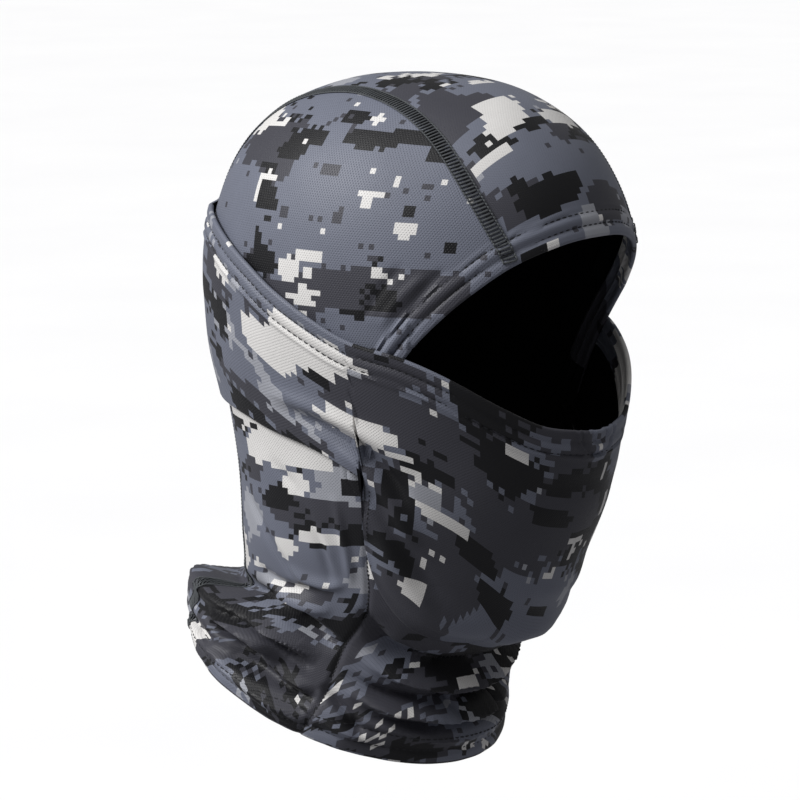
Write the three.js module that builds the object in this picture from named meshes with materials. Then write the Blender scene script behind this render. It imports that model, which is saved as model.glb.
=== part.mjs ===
// Camouflage balaclava, worn: a hood and neck tube with a face mask as its outer layer.
// Millimetres, +Z up, the face looks to -Y and +X is the wearer's left.
// The origin is on the crown's inner face, where the head holds the part.
import * as THREE from "three";

// ---- Driving dimensions ----

const fabric = 0.8; // knit thickness
const gap = 0.45; // clearance between pieces that touch
const panelGap = 0.7; // between two panels at a seam, under its thread
const hemEase = 0.65; // clearance between a turned hem and the cloth it is turned under
const headWidth = 156; // across the ears
const faceReach = 96; // from the ear line forward to the brow
const backReach = 92.5; // from the ear line back to the back of the head
const wornHeight = 262; // crown to the mean level of the bottom hem
const crownHeight = 88; // crown to the widest ring
const crownFullness = 2.4; // 2 is a plain ellipse, higher is squarer
const neckWidth = 116; // at the throat
const collarWidth = 131; // gathered cloth above the bottom hem
const collarFront = 25; // ear line forward to the front of the bottom hem
const collarBack = 110; // ear line back to the back of the bottom hem
const hemSlope = 0.39; // rise of the bottom hem towards the back, per millimetre
const hemPivot = 45; // depth behind the ear line where the hem's tilt is nothing
const stripBrow = 80; // width of the crown strip at the brow
const stripFront = 90; // width of the crown strip a little behind the brow
const stripCrown = 64; // width of the crown strip on the crown
const stripBack = 76; // width of the crown strip at the back of the head
const stripHem = 96; // width of the crown strip at the bottom hem
const seamWidth = 5.5; // flatlock seam, across
const threadHeight = 0.4; // how far a seam's thread stands up
const rowWidth = 1.0; // one row of stitches, across
const browHemDepth = 11; // turned hem round the face opening
const maskHemDepth = 12; // turned hem on the mask's top edge
const bottomHemDepth = 13; // turned hem at the bottom
const hemSetBack = 0.3; // how far a mask hem's facing stays behind the free edge
const rowInset = 4.0; // free edge to the first row of stitches
const rowPitch = 5.0; // first row to second row
const chinTuck = 14; // how far the neck front reaches up behind the mask
const seamAngle = 75; // side seam, degrees round from the middle of the face

// ---- Layers, measured outwards from the outer face of the hood ----

const hoodLayer = [-fabric, 0];
const facingLayer = [-2 * fabric - hemEase, -fabric - hemEase];
const threadLayer = [gap, gap + threadHeight];
const maskFacingLayer = [gap, gap + fabric];
const maskLayer = [maskFacingLayer[1] + hemEase, maskFacingLayer[1] + hemEase + fabric];
const overThreadLayer = [threadLayer[1] + gap, threadLayer[1] + gap + threadHeight];
const maskThreadLayer = [maskLayer[1] + gap, maskLayer[1] + gap + threadHeight];

// ---- Worn shape ----

const halfHead = headWidth / 2;
const halfNeck = neckWidth / 2;
const halfCollar = collarWidth / 2;
const collarDepth = collarFront + collarBack;

// The share of the worn height at a part of the way down from the widest ring to the hem.
const below = (part) => crownHeight / wornHeight + part * (1 - crownHeight / wornHeight);

// The half width at a part of the way in from the head to the throat.
const halfAt = (part) => halfHead + part * (halfNeck - halfHead);

// Each ring is an egg in plan, at a share of the worn height below the crown.
// half is the half width, front and back are the reaches from the ear line, taper narrows the front.
const rings = [
  { at: below(0), half: halfHead, front: faceReach, back: backReach, taper: 0.06 },
  { at: below(0.142), half: halfAt(0.117), front: 0.975 * faceReach, back: 0.97 * backReach, taper: 0.08 },
  { at: below(0.277), half: halfAt(0.312), front: 0.94 * faceReach, back: 0.89 * backReach, taper: 0.12 },
  { at: below(0.428), half: halfAt(0.468), front: 0.895 * faceReach, back: 0.82 * backReach, taper: 0.17 },
  { at: below(0.578), half: halfAt(0.663), front: 0.79 * faceReach, back: 0.8 * backReach, taper: 0.2 },
  { at: below(0.7), half: halfAt(0.913), front: 0.47 * collarDepth, back: 0.58 * collarDepth, taper: 0.14 },
  { at: below(0.79), half: halfNeck, front: 0.29 * collarDepth, back: 0.69 * collarDepth, taper: 0.04 },
  { at: below(0.895), half: 0.97 * halfCollar, front: 0.22 * collarDepth, back: 0.765 * collarDepth, taper: 0 },
  { at: below(1), half: halfCollar, front: collarFront, back: collarBack, taper: 0 },
];
const tiltStart = 0.76; // share of the worn height where the hem's tilt begins

const radians = THREE.MathUtils.degToRad;
const degrees = THREE.MathUtils.radToDeg;
const mix = THREE.MathUtils.lerp;

// Smooth value of one ring size at a share of the worn height.
function ringSize(share, key) {
  const last = rings.length - 1;
  const at = THREE.MathUtils.clamp(share, rings[0].at, rings[last].at);
  let i = 0;
  while (i < last - 1 && at > rings[i + 1].at) i += 1;
  const slope = (k) => {
    const before = rings[Math.max(k - 1, 0)];
    const after = rings[Math.min(k + 1, last)];
    return (after[key] - before[key]) / (after.at - before.at);
  };
  const span = rings[i + 1].at - rings[i].at;
  const t = (at - rings[i].at) / span;
  const ease = t * t * (3 - 2 * t);
  const bow = t * (1 - t) * ((1 - t) * slope(i) - t * slope(i + 1)) * span;
  return mix(rings[i][key], rings[i + 1][key], ease) + bow;
}

// The egg at a drop below the crown, closing to a point at the crown.
function ringAt(drop) {
  const rise = THREE.MathUtils.clamp(1 - drop / crownHeight, 0, 1);
  const scale = Math.pow(1 - Math.pow(rise, crownFullness), 1 / crownFullness);
  const share = drop / wornHeight;
  return {
    half: scale * ringSize(share, "half"),
    front: scale * ringSize(share, "front"),
    back: scale * ringSize(share, "back"),
    taper: ringSize(share, "taper"),
  };
}

// Outer face of the hood at an angle round from the face, in degrees, and a drop below the crown.
function onHead([angle, drop]) {
  const ring = ringAt(drop);
  const forward = Math.cos(radians(angle));
  const aside = Math.sin(radians(angle));
  const y = (ring.back - ring.front) / 2 - (forward * (ring.back + ring.front)) / 2;
  const tilt = hemSlope * THREE.MathUtils.smoothstep(drop / wornHeight, tiltStart, 1);
  const z = fabric - drop + tilt * (y - hemPivot);
  return new THREE.Vector3(ring.half * aside * (1 - ring.taper * forward), y, z);
}

// How far forward of its middle a point of a ring is: 1 at the front, -1 at the back.
function forwardShare(ring, y) {
  return (ring.back - ring.front - 2 * y) / (ring.back + ring.front);
}

// Root of a function that rises from low to high.
function solve(rising, low, high) {
  let [a, b] = [low, high];
  for (let step = 0; step < 40; step += 1) {
    const middle = (a + b) / 2;
    if (rising(middle) < 0) a = middle;
    else b = middle;
  }
  return (a + b) / 2;
}

// ---- Edges and seams as curves of [angle, drop], for the wearer's left ----

// A smooth curve through [angle, share of the worn height] points, running straight on past its ends.
function line(points) {
  const curve = new THREE.SplineCurve(points.map(([a, d]) => new THREE.Vector2(a, d * wornHeight)));
  return (t) => {
    const end = THREE.MathUtils.clamp(t, 0, 1);
    const point = curve.getPoint(end);
    return point.addScaledVector(curve.getTangent(end), (t - end) * curve.getLength()).toArray();
  };
}

const bottomShare = 0.978; // free edge of the bottom hem
const wingCorner = [seamAngle, 0.59]; // where the wing, the mask and the neck panels meet
const chinCorner = [seamAngle, 0.7]; // where the chin fold leaves the side seam
const browEdge = line([[-62, 0.402], [-54, 0.348], [-44, 0.298], [-32, 0.256], [-16, 0.229], [0, 0.222],
  [16, 0.229], [32, 0.256], [44, 0.298], [54, 0.348], [62, 0.402], [68, 0.465], wingCorner]);
const maskEdge = line([[0, 0.525], [12, 0.52], [24, 0.508], [36, 0.478], [50, 0.433],
  [62, 0.402], [seamAngle, 0.382], [86, 0.35], [97, 0.314], [109, 0.274], [128, 0.23], [152, 0.205]]);
const wingSeam = line([wingCorner, [90, 0.55], [106, 0.528], [120, 0.512], [148, 0.497]]);
const sideSeam = line([wingCorner, [seamAngle, 0.65], [74, 0.73], [71, 0.79], [66, 0.84], [63, 0.885],
  [63, 0.93], [67, bottomShare]]);
const chinFold = line([[0, 0.838], [18, 0.836], [38, 0.831], [52, 0.817], [63, 0.793], [70, 0.76],
  chinCorner]);

// Where a curve passes an angle, and its drop there.
const where = (curve, angle) => solve((t) => curve(t)[0] - angle, 0, 1);
const dropAt = (curve, angle) => curve(where(curve, angle))[1];

// ---- Crown strip: a place is [along, across], along from 0 at the brow to 1 at the bottom hem ----

const stripTurn = 0.62; // the share of the strip that lies above the widest ring
const bottomDrop = bottomShare * wornHeight;

// Half the strip's width along its length.
const stripHalf = (() => {
  const widths = new THREE.SplineCurve([
    new THREE.Vector2(0, stripBrow / 2),
    new THREE.Vector2(0.12, stripFront / 2),
    new THREE.Vector2(0.35, stripCrown / 2),
    new THREE.Vector2(stripTurn, stripBack / 2),
    new THREE.Vector2(1, stripHem / 2),
  ]);
  return (along) => {
    const t = solve((s) => widths.getPoint(s).x - along, 0, 1);
    return widths.getPoint(t).y;
  };
})();

// Whether a point lies inside the upper part of the hood.
function inside(x, y, drop) {
  if (drop < 0) return false;
  const ring = ringAt(drop);
  const forward = forwardShare(ring, y);
  if (Math.abs(forward) > 1) return false;
  return Math.abs(x) < ring.half * Math.sqrt(1 - forward * forward) * (1 - ring.taper * forward);
}

// The turn, in radians up from straight ahead, at which the brow edge passes x, held at even steps of x.
const browSteps = 40;
const browSpan = 0.65 * stripBrow; // rather more than half the strip's width
const browTurns = Array.from({ length: browSteps + 1 }, (unused, i) => {
  const x = mix(-browSpan, browSpan, i / browSteps);
  const angle = solve((a) => onHead([a, dropAt(browEdge, a)]).x - x, -60, 60);
  const brow = onHead([angle, dropAt(browEdge, angle)]);
  return Math.atan2(brow.z - fabric + crownHeight, -brow.y);
});
function browTurn(x) {
  const place = THREE.MathUtils.clamp((browSteps * (1 + x / browSpan)) / 2, 0, browSteps - 1e-3);
  const i = Math.floor(place);
  return mix(browTurns[i], browTurns[i + 1], place - i);
}

// Point on the strip at a sideways distance x from the middle.
function onStripAt(along, x) {
  if (along > stripTurn) {
    const drop = mix(crownHeight, bottomDrop, (along - stripTurn) / (1 - stripTurn));
    const angle = solve((a) => Math.abs(x) - onHead([a, drop]).x, 90, 180);
    return onHead([x < 0 ? -angle : angle, drop]);
  }
  const turn = mix(browTurn(x), Math.PI, along / stripTurn);
  const forward = Math.cos(turn);
  const up = Math.sin(turn);
  const reach = solve((r) => (inside(x, -r * forward, crownHeight - r * up) ? -1 : 1), 0, 2 * headWidth);
  return new THREE.Vector3(x, -reach * forward, fabric - crownHeight + reach * up);
}

// The strip's edge, or a line beside it, as [angle, drop].
function stripEdge(along, beside = 0) {
  const point = onStripAt(along, stripHalf(along) + beside);
  if (along > stripTurn) {
    const drop = mix(crownHeight, bottomDrop, (along - stripTurn) / (1 - stripTurn));
    const angle = solve((a) => point.x - onHead([a, drop]).x, 90, 180);
    return [angle, drop];
  }
  const drop = fabric - point.z;
  const ring = ringAt(drop);
  const forward = forwardShare(ring, point.y);
  const aside = point.x / (ring.half * (1 - ring.taper * forward));
  return [degrees(Math.atan2(aside, forward)), drop];
}

// ---- Solids: a box of many cells bent onto the hood ----

// place takes [u, v] and gives a point; lifted adds a height along the outward normal.
function lifted(place, u, v, height) {
  const step = 1e-3;
  const point = place(u, v);
  const alongU = place(u + step, v).sub(place(u - step, v));
  const alongV = place(u, v + step).sub(place(u, v - step));
  const normal = alongU.cross(alongV).normalize();
  return point.addScaledVector(normal, height);
}

// A panel between the two heights of its layer. place must turn outwards: u crossed with v.
function bentBox(cellsU, cellsV, place, [low, high]) {
  const geometry = new THREE.BoxGeometry(1, 1, 1, cellsU, cellsV, 1);
  const position = geometry.getAttribute("position");
  for (let i = 0; i < position.count; i += 1) {
    const u = position.getX(i) + 0.5;
    const v = position.getY(i) + 0.5;
    const height = mix(low, high, position.getZ(i) + 0.5);
    position.setXYZ(i, ...lifted(place, u, v, height).toArray());
  }
  geometry.computeVertexNormals();
  return geometry;
}

// The patch between four edge curves of [angle, drop]; low and high run along u, first and last along v.
function patch(low, high, first, last) {
  const corner = [low(0), low(1), high(0), high(1)];
  return (u, v) => {
    const place = [0, 1].map((k) => {
      const ruled = mix(low(u)[k], high(u)[k], v) + mix(first(v)[k], last(v)[k], u);
      return ruled - mix(mix(corner[0][k], corner[1][k], u), mix(corner[2][k], corner[3][k], u), v);
    });
    return onHead(place);
  };
}

// The place at a distance to the side of a curve, on the head: up from a curve that runs round it.
function beside(curve, t, distance) {
  const step = 1e-3;
  const [angle, drop] = curve(t);
  const round = onHead([angle + step, drop]).sub(onHead([angle - step, drop])).divideScalar(2 * step);
  const down = onHead([angle, drop + step]).sub(onHead([angle, drop - step])).divideScalar(2 * step);
  const normal = down.clone().cross(round).normalize();
  const ahead = onHead(curve(t + step)).sub(onHead(curve(t - step)));
  const side = normal.cross(ahead).setLength(distance);
  const [rr, dd, rd] = [round.lengthSq(), down.lengthSq(), round.dot(down)];
  const [rs, ds] = [round.dot(side), down.dot(side)];
  const area = rr * dd - rd * rd;
  return [angle + (rs * dd - ds * rd) / area, drop + (ds * rr - rs * rd) / area];
}

// The curve at a distance below another, between the same two angles.
function parallel(curve, distance) {
  const reach = (t) => beside(curve, t, -distance);
  return (t) => {
    const angle = curve(t)[0];
    return reach(solve((s) => reach(s)[0] - angle, -0.2, 1.2));
  };
}

// A turned hem under an edge that runs round the head, with its ends cut straight down.
function facing(cells, edge, depth, layer) {
  const high = parallel(edge, hemSetBack);
  const low = parallel(edge, depth);
  return bentBox(cells, 2, patch(low, high, straight(low(0), high(0)), straight(low(1), high(1))), layer);
}

// A flat band of thread or cloth along a curve, from one distance beside it to another.
function band(cells, curve, [near, far], layer) {
  const place = (u, v) => onHead(beside(curve, u, mix(near, far, v)));
  return bentBox(cells, Math.ceil((far - near) / seamWidth), place, layer);
}

// A band that closes on itself all round the hood, between two drops, in rows of cells.
function roundBand(cells, rows, [upper, lower], [low, high]) {
  const sides = 2 * (rows + 1);
  const geometry = new THREE.TorusGeometry(2, 1, sides, cells);
  const position = geometry.getAttribute("position");
  for (let i = 0; i < position.count; i += 1) {
    const [x, y] = [position.getX(i), position.getY(i)];
    const round = Math.atan2(position.getZ(i), Math.hypot(x, y) - 2) / (2 * Math.PI);
    const corner = Math.round(sides * (round + 1)) % sides;
    const onInside = corner <= rows;
    const edge = onInside ? 1 - corner / rows : (corner - rows - 1) / rows;
    const height = onInside ? low : high;
    const turn = Math.atan2(y, x) / (2 * Math.PI);
    const place = (u, v) => onHead([360 * u, mix(lower, upper, v)]);
    position.setXYZ(i, ...lifted(place, turn, edge, height).toArray());
  }
  geometry.computeVertexNormals();
  return geometry;
}

// ---- Places along the curves, for the wearer's left ----

const half = panelGap / 2;
const gapAngle = degrees(half / halfHead);
const mirror = (curve) => (t) => [-curve(t)[0], curve(t)[1]];
const piece = (curve, from, to) => (t) => curve(mix(from, to, t));
const shifted = (curve, angle, drop) => (t) => [curve(t)[0] + angle, curve(t)[1] + drop];
const besideStrip = (from, to, distance) => (t) => stripEdge(mix(from, to, t), distance);
const straight = (from, to) => (t) => [mix(from[0], to[0], t), mix(from[1], to[1], t)];
const bothSides = (angle, curve) => (t) => {
  const round = angle * (2 * t - 1);
  return [round, dropAt(curve, Math.min(Math.abs(round), seamAngle))];
};

const seamCells = 72; // the crown strip and its seams bend at the same places
const neckCells = 28; // close enough for the bend at the throat
const sideCells = 18; // the side panel and the neck side bend at the same places along the wing seam
const panelTurn = 0.4; // along the strip, where a side panel's top edge becomes its back edge
const wingBack = mix(stripTurn, 1, (wingSeam(1)[1] - crownHeight) / (bottomDrop - crownHeight));
const frontSide = seamAngle - gapAngle;
const wingSide = seamAngle + gapAngle;

// ---- Panels ----

function crownStrip() {
  const place = (u, v) => onStripAt(v, (2 * u - 1) * (stripHalf(v) - half));
  return bentBox(8, seamCells, place, hoodLayer);
}

function sidePanel() {
  const low = shifted(wingSeam, 0, -half);
  const high = besideStrip(0, panelTurn, half);
  const first = piece(browEdge, 1, where(browEdge, stripEdge(0, half)[0]));
  const last = besideStrip(wingBack, panelTurn, half);
  return bentBox(sideCells, sideCells, patch(low, high, first, last), hoodLayer);
}

function neckSide() {
  const low = straight([sideSeam(1)[0] + gapAngle, bottomDrop], stripEdge(1, half));
  const high = shifted(wingSeam, gapAngle, half);
  const first = shifted(piece(sideSeam, 1, 0), gapAngle, half);
  const last = besideStrip(1, wingBack, half);
  return bentBox(sideCells, neckCells, patch(low, high, first, last), hoodLayer);
}

function neckFront() {
  const tuckDrop = chinCorner[1] * wornHeight - chinTuck;
  const tuckT = solve((t) => sideSeam(t)[1] - tuckDrop, 0, 1);
  const last = shifted(piece(sideSeam, 1, tuckT), -gapAngle, 0);
  const low = straight(mirror(last)(0), last(0));
  const high = shifted(bothSides(last(1)[0], chinFold), 0, -chinTuck);
  return bentBox(16, neckCells, patch(low, high, mirror(last), last), hoodLayer);
}

function maskFront() {
  const high = bothSides(frontSide, maskEdge);
  const low = bothSides(frontSide, chinFold);
  const last = straight(low(1), high(1));
  return bentBox(20, 8, patch(low, high, mirror(last), last), maskLayer);
}

function maskWing() {
  const high = piece(maskEdge, where(maskEdge, wingSide), 1);
  const low = piece(wingSeam, where(wingSeam, wingSide), 1);
  return bentBox(16, 12, patch(low, high, straight(low(0), high(0)), straight(low(1), high(1))), maskLayer);
}

// ---- Turned hems, seams and rows of stitches ----

const centred = (width) => [-width / 2, width / 2];
const ringOf = ([near, far]) => [bottomDrop - far, bottomDrop - near];
const rowAcross = centred(rowWidth);
const firstRow = rowAcross.map((distance) => rowInset + distance);
const secondRow = firstRow.map((distance) => distance + rowPitch);
const outerRow = (edge) => parallel(edge, rowInset);
const innerRow = (edge) => parallel(edge, rowInset + rowPitch);

const browStrip = where(browEdge, stripEdge(0, half)[0]);
const browEnd = 0.9; // along the brow edge, where the turned hem stops short of the wing corner
const browRowEnd = 57; // degrees round, where the brow's rows of stitches stop under the wing
const browRow = piece(browEdge, where(browEdge, 0), where(browEdge, browRowEnd));
const browWhole = (t) => (t < 0.5 ? mirror(browRow)(1 - 2 * t) : browRow(2 * t - 1));
const maskTop = bothSides(frontSide, maskEdge);
const maskRow = bothSides(frontSide - 1, maskEdge);
const wingHemEnd = 0.955; // along the mask edge, where the wing's turned hem stops short of the crown seam
const wingRowEnd = 0.97;
const wingTop = piece(maskEdge, where(maskEdge, wingSide), wingHemEnd);
const wingRow = piece(maskEdge, where(maskEdge, wingSide + 0.5), wingRowEnd);

const crownSeam = besideStrip(0.002, 0.998, 0);
const chinT = solve((t) => sideSeam(t)[1] - chinCorner[1] * wornHeight, 0, 1);
const sideThread = centred(2);
const wingThread = [-2.6, -0.8]; // the wing seam's thread lies just below it
const maskThread = [0.8, 2.4]; // the mask's thread lies just in front of its side edge
const seamPlace = (share) => [frontSide, mix(wingCorner[1], chinCorner[1], share) * wornHeight];
const maskSeam = straight(seamPlace(0.2), seamPlace(0.9));

// ---- Finishes ----

function finish(name, color, roughness) {
  return new THREE.MeshStandardMaterial({ name, color, roughness, metalness: 0 });
}
const hoodCloth = () => finish("camo_knit", 0x6f7380, 0.85);
const maskCloth = () => finish("camo_knit_mask", 0x646874, 0.85);
const facingCloth = () => finish("hem_facing", 0x4a474c, 0.9);
const thread = () => finish("thread", 0x2b2c30, 0.7);

// ---- Assembly ----

const balaclava = new THREE.Group();

function add(name, geometry, material, group) {
  const mesh = new THREE.Mesh(geometry, material);
  mesh.name = name;
  group.add(mesh);
  return mesh;
}

// A piece for the wearer's left and its mirror image for the right.
function addPair(name, geometry, material, group) {
  add(`${name}_left`, geometry, material(), group);
  add(`${name}_right`, geometry.clone(), material(), group).scale.x = -1;
}

const hood = new THREE.Group();
balaclava.add(hood);
add("crown_strip", crownStrip(), hoodCloth(), hood);
addPair("side_panel", sidePanel(), hoodCloth, hood);
addPair("neck_side", neckSide(), hoodCloth, hood);
add("neck_front", neckFront(), hoodCloth(), hood);
addPair("mask_wing", maskWing(), maskCloth, hood);

const browCentre = piece(browEdge, 1 - browStrip, browStrip);
const browSide = piece(browEdge, browStrip + 0.01, browEnd);
add("brow_hem_centre", band(10, browCentre, [0, browHemDepth], facingLayer), facingCloth(), hood);
addPair("brow_hem", band(12, browSide, [0, browHemDepth], facingLayer), facingCloth, hood);
add("bottom_hem", roundBand(64, 3, ringOf([0, bottomHemDepth]), facingLayer), facingCloth(), hood);
addPair("wing_hem", facing(20, wingTop, maskHemDepth, maskFacingLayer), facingCloth, hood);

addPair("crown_seam", band(seamCells, crownSeam, centred(seamWidth), threadLayer), thread, hood);
addPair("wing_seam", band(14, piece(wingSeam, 0.04, 0.93), wingThread, threadLayer), thread, hood);
addPair("side_seam", band(neckCells, piece(sideSeam, chinT, 0.99), sideThread, threadLayer), thread, hood);

add("brow_row_outer", band(36, browWhole, firstRow, overThreadLayer), thread(), hood);
add("brow_row_inner", band(36, browWhole, secondRow, overThreadLayer), thread(), hood);
add("bottom_row_lower", roundBand(64, 1, ringOf(firstRow), overThreadLayer), thread(), hood);
add("bottom_row_upper", roundBand(64, 1, ringOf(secondRow), overThreadLayer), thread(), hood);
addPair("wing_row_outer", band(20, outerRow(wingRow), rowAcross, maskThreadLayer), thread, hood);
addPair("wing_row_inner", band(20, innerRow(wingRow), rowAcross, maskThreadLayer), thread, hood);

const mask = new THREE.Group();
balaclava.add(mask);
add("mask_front", maskFront(), maskCloth(), mask);
add("mask_hem_front", facing(20, maskTop, maskHemDepth, maskFacingLayer), facingCloth(), mask);
add("mask_row_outer", band(24, outerRow(maskRow), rowAcross, maskThreadLayer), thread(), mask);
add("mask_row_inner", band(24, innerRow(maskRow), rowAcross, maskThreadLayer), thread(), mask);
addPair("mask_side_seam", band(6, maskSeam, maskThread, maskThreadLayer), thread, mask);

balaclava.name = "camo_face_mask";
export default balaclava;
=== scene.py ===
# Looks of a camouflage balaclava, worn: knit panels, turned hems, flatlock seams and rows of stitches.
# Sizes are in millimetres on the worn form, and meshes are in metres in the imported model's frame.
import math
from functools import partial

import bpy
import numpy as np
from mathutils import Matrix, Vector


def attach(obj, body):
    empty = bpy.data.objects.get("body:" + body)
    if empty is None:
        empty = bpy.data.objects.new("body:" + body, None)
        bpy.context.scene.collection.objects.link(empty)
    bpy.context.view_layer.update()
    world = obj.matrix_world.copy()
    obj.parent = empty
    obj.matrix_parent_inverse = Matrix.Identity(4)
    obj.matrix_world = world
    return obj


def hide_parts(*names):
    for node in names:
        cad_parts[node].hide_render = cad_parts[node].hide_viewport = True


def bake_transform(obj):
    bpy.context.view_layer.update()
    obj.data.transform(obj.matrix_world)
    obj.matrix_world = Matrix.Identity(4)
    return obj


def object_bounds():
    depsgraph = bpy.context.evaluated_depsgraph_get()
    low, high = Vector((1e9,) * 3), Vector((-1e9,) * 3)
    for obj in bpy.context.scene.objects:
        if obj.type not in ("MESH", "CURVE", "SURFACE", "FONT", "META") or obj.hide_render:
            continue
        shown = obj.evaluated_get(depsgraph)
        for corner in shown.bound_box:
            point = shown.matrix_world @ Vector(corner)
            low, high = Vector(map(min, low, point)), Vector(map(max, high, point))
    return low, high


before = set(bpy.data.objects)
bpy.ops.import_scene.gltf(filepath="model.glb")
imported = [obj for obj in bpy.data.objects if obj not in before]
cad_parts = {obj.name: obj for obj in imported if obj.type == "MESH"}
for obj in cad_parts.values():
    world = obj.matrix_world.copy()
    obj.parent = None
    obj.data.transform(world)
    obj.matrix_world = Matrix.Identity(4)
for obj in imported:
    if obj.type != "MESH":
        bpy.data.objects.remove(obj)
CAD_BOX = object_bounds()
MM = 0.001
CELL = 1.25  # one cell of the cloth's mesh

# ---- Worn form, as in the CAD ----

FABRIC = 0.8  # knit thickness
HALF_HEAD = 78.0
FACE_REACH = 96.0
BACK_REACH = 92.5
WORN_HEIGHT = 262.0
CROWN_HEIGHT = 88.0
CROWN_FULLNESS = 2.4
HALF_NECK = 58.0
HALF_COLLAR = 65.5
COLLAR_FRONT = 25.0
COLLAR_BACK = 110.0
COLLAR_DEPTH = COLLAR_FRONT + COLLAR_BACK
HEM_SLOPE = 0.39
HEM_PIVOT = 45.0
TILT_START = 0.76
STRIP_WIDTHS = [[0, 40], [0.12, 45], [0.35, 32], [0.62, 38], [1, 48]]
STRIP_TURN = 0.62
BOTTOM_SHARE = 0.978
BOTTOM_DROP = BOTTOM_SHARE * WORN_HEIGHT
HEM_EASE = 0.65  # between a turned hem and the cloth over it
SEAM_WIDTH = 5.5
ROW_INSET = 4.0
ROW_PITCH = 5.0
BROW_HEM = 11.0
MASK_HEM = 12.0
BOTTOM_HEM = 13.0
MASK_LIFT = 2.7  # outer face of the mask over the outer face of the hood
CHIN_TUCK = 14.0
SEAM_ANGLE = 75.0
PANEL_SPREAD = 88.0  # radius at which a side panel is laid flat
NECK_SIDE_ROUND = 66.0  # radii at which the print runs round each piece
NECK_FRONT_ROUND = 60.0
MASK_ROUND = 76.0
BOTTOM_HEM_ROUND = 64.0


def below(part):
    """Share of the worn height at a part of the way down from the widest ring to the hem."""
    return (CROWN_HEIGHT + part * (WORN_HEIGHT - CROWN_HEIGHT)) / WORN_HEIGHT


def half_at(part):
    """Half width at a part of the way from the head's own to the neck's."""
    return HALF_HEAD + part * (HALF_NECK - HALF_HEAD)


RINGS = np.array([  # share of the worn height, half width, reach forward, reach back, taper
    [CROWN_HEIGHT / WORN_HEIGHT, HALF_HEAD, FACE_REACH, BACK_REACH, 0.06],
    [below(0.142), half_at(0.117), 0.975 * FACE_REACH, 0.97 * BACK_REACH, 0.08],
    [below(0.277), half_at(0.312), 0.94 * FACE_REACH, 0.89 * BACK_REACH, 0.12],
    [below(0.428), half_at(0.468), 0.895 * FACE_REACH, 0.82 * BACK_REACH, 0.17],
    [below(0.578), half_at(0.663), 0.79 * FACE_REACH, 0.80 * BACK_REACH, 0.2],
    [below(0.7), half_at(0.913), 0.47 * COLLAR_DEPTH, 0.58 * COLLAR_DEPTH, 0.14],
    [below(0.79), HALF_NECK, 0.29 * COLLAR_DEPTH, 0.69 * COLLAR_DEPTH, 0.04],
    [below(0.895), 0.97 * HALF_COLLAR, 0.22 * COLLAR_DEPTH, 0.765 * COLLAR_DEPTH, 0],
    [1, HALF_COLLAR, COLLAR_FRONT, COLLAR_BACK, 0],
])


def smooth(x):
    t = np.clip(x, 0, 1)
    return t * t * (3 - 2 * t)


def ring_size(share, column):
    at, value = RINGS[:, 0], RINGS[:, column]
    last = len(at) - 1
    x = np.clip(share, at[0], at[last])
    i = np.clip(np.searchsorted(at, x) - 1, 0, last - 1)
    before = np.maximum(np.arange(last + 1) - 1, 0)
    after = np.minimum(np.arange(last + 1) + 1, last)
    slope = (value[after] - value[before]) / (at[after] - at[before])
    span = at[i + 1] - at[i]
    t = (x - at[i]) / span
    bow = t * (1 - t) * ((1 - t) * slope[i] - t * slope[i + 1]) * span
    return value[i] + (value[i + 1] - value[i]) * smooth(t) + bow


def ring_at(drop):
    rise = np.clip(1 - drop / CROWN_HEIGHT, 0, 1)
    scale = (1 - rise ** CROWN_FULLNESS) ** (1 / CROWN_FULLNESS)
    share = drop / WORN_HEIGHT
    half, front, back = (scale * ring_size(share, k) for k in (1, 2, 3))
    return half, front, back, ring_size(share, 4)


def on_head(place):
    """Outer face of the hood at [angle in degrees, drop], as [x, y, z] in millimetres."""
    angle, drop = np.radians(place[..., 0]), place[..., 1]
    half, front, back, taper = ring_at(drop)
    forward, aside = np.cos(angle), np.sin(angle)
    y = (back - front) / 2 - forward * (back + front) / 2
    tilt = HEM_SLOPE * smooth((drop / WORN_HEIGHT - TILT_START) / (1 - TILT_START))
    z = FABRIC - drop + tilt * (y - HEM_PIVOT)
    return np.stack([half * aside * (1 - taper * forward), y, z], -1)


def unit(v):
    return v / np.maximum(np.linalg.norm(v, axis=-1, keepdims=True), 1e-9)


def frames_at(place):
    """Outward normal, direction round and direction down the head at [angle, drop]."""
    step = 0.05
    a = np.array([step, 0.0])
    d = np.array([0.0, step])
    around = unit(on_head(place + a) - on_head(place - a))
    down = unit(on_head(place + d) - on_head(place - d))
    return unit(np.cross(down, around)), around, down


# ---- Edges and seams, for the wearer's left, as curves of [angle, drop] ----


def catmull(points, t):
    """Smooth curve through points, running straight on past its ends, at an array of t."""
    p = np.asarray(points, float)
    last = len(p) - 1
    at = np.clip(t, 0, 1) * last
    i = np.minimum(at.astype(int), last - 1)
    w = (at - i)[..., None]
    p0, p1, p2, p3 = (p[np.clip(i + k, 0, last)] for k in (-1, 0, 1, 2))
    v0, v1 = (p2 - p0) / 2, (p3 - p1) / 2
    made = (2 * p1 - 2 * p2 + v0 + v1) * w**3 + (-3 * p1 + 3 * p2 - 2 * v0 - v1) * w**2 + v0 * w + p1
    ends = np.where((t > 1)[..., None], p[last] - p[last - 1], p[1] - p[0])
    return made + ends * (last * (t - np.clip(t, 0, 1)))[..., None]


def line(points):
    scaled = np.array([[a, d * WORN_HEIGHT] for a, d in points], float)
    return lambda t: catmull(scaled, np.asarray(t, float))


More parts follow.
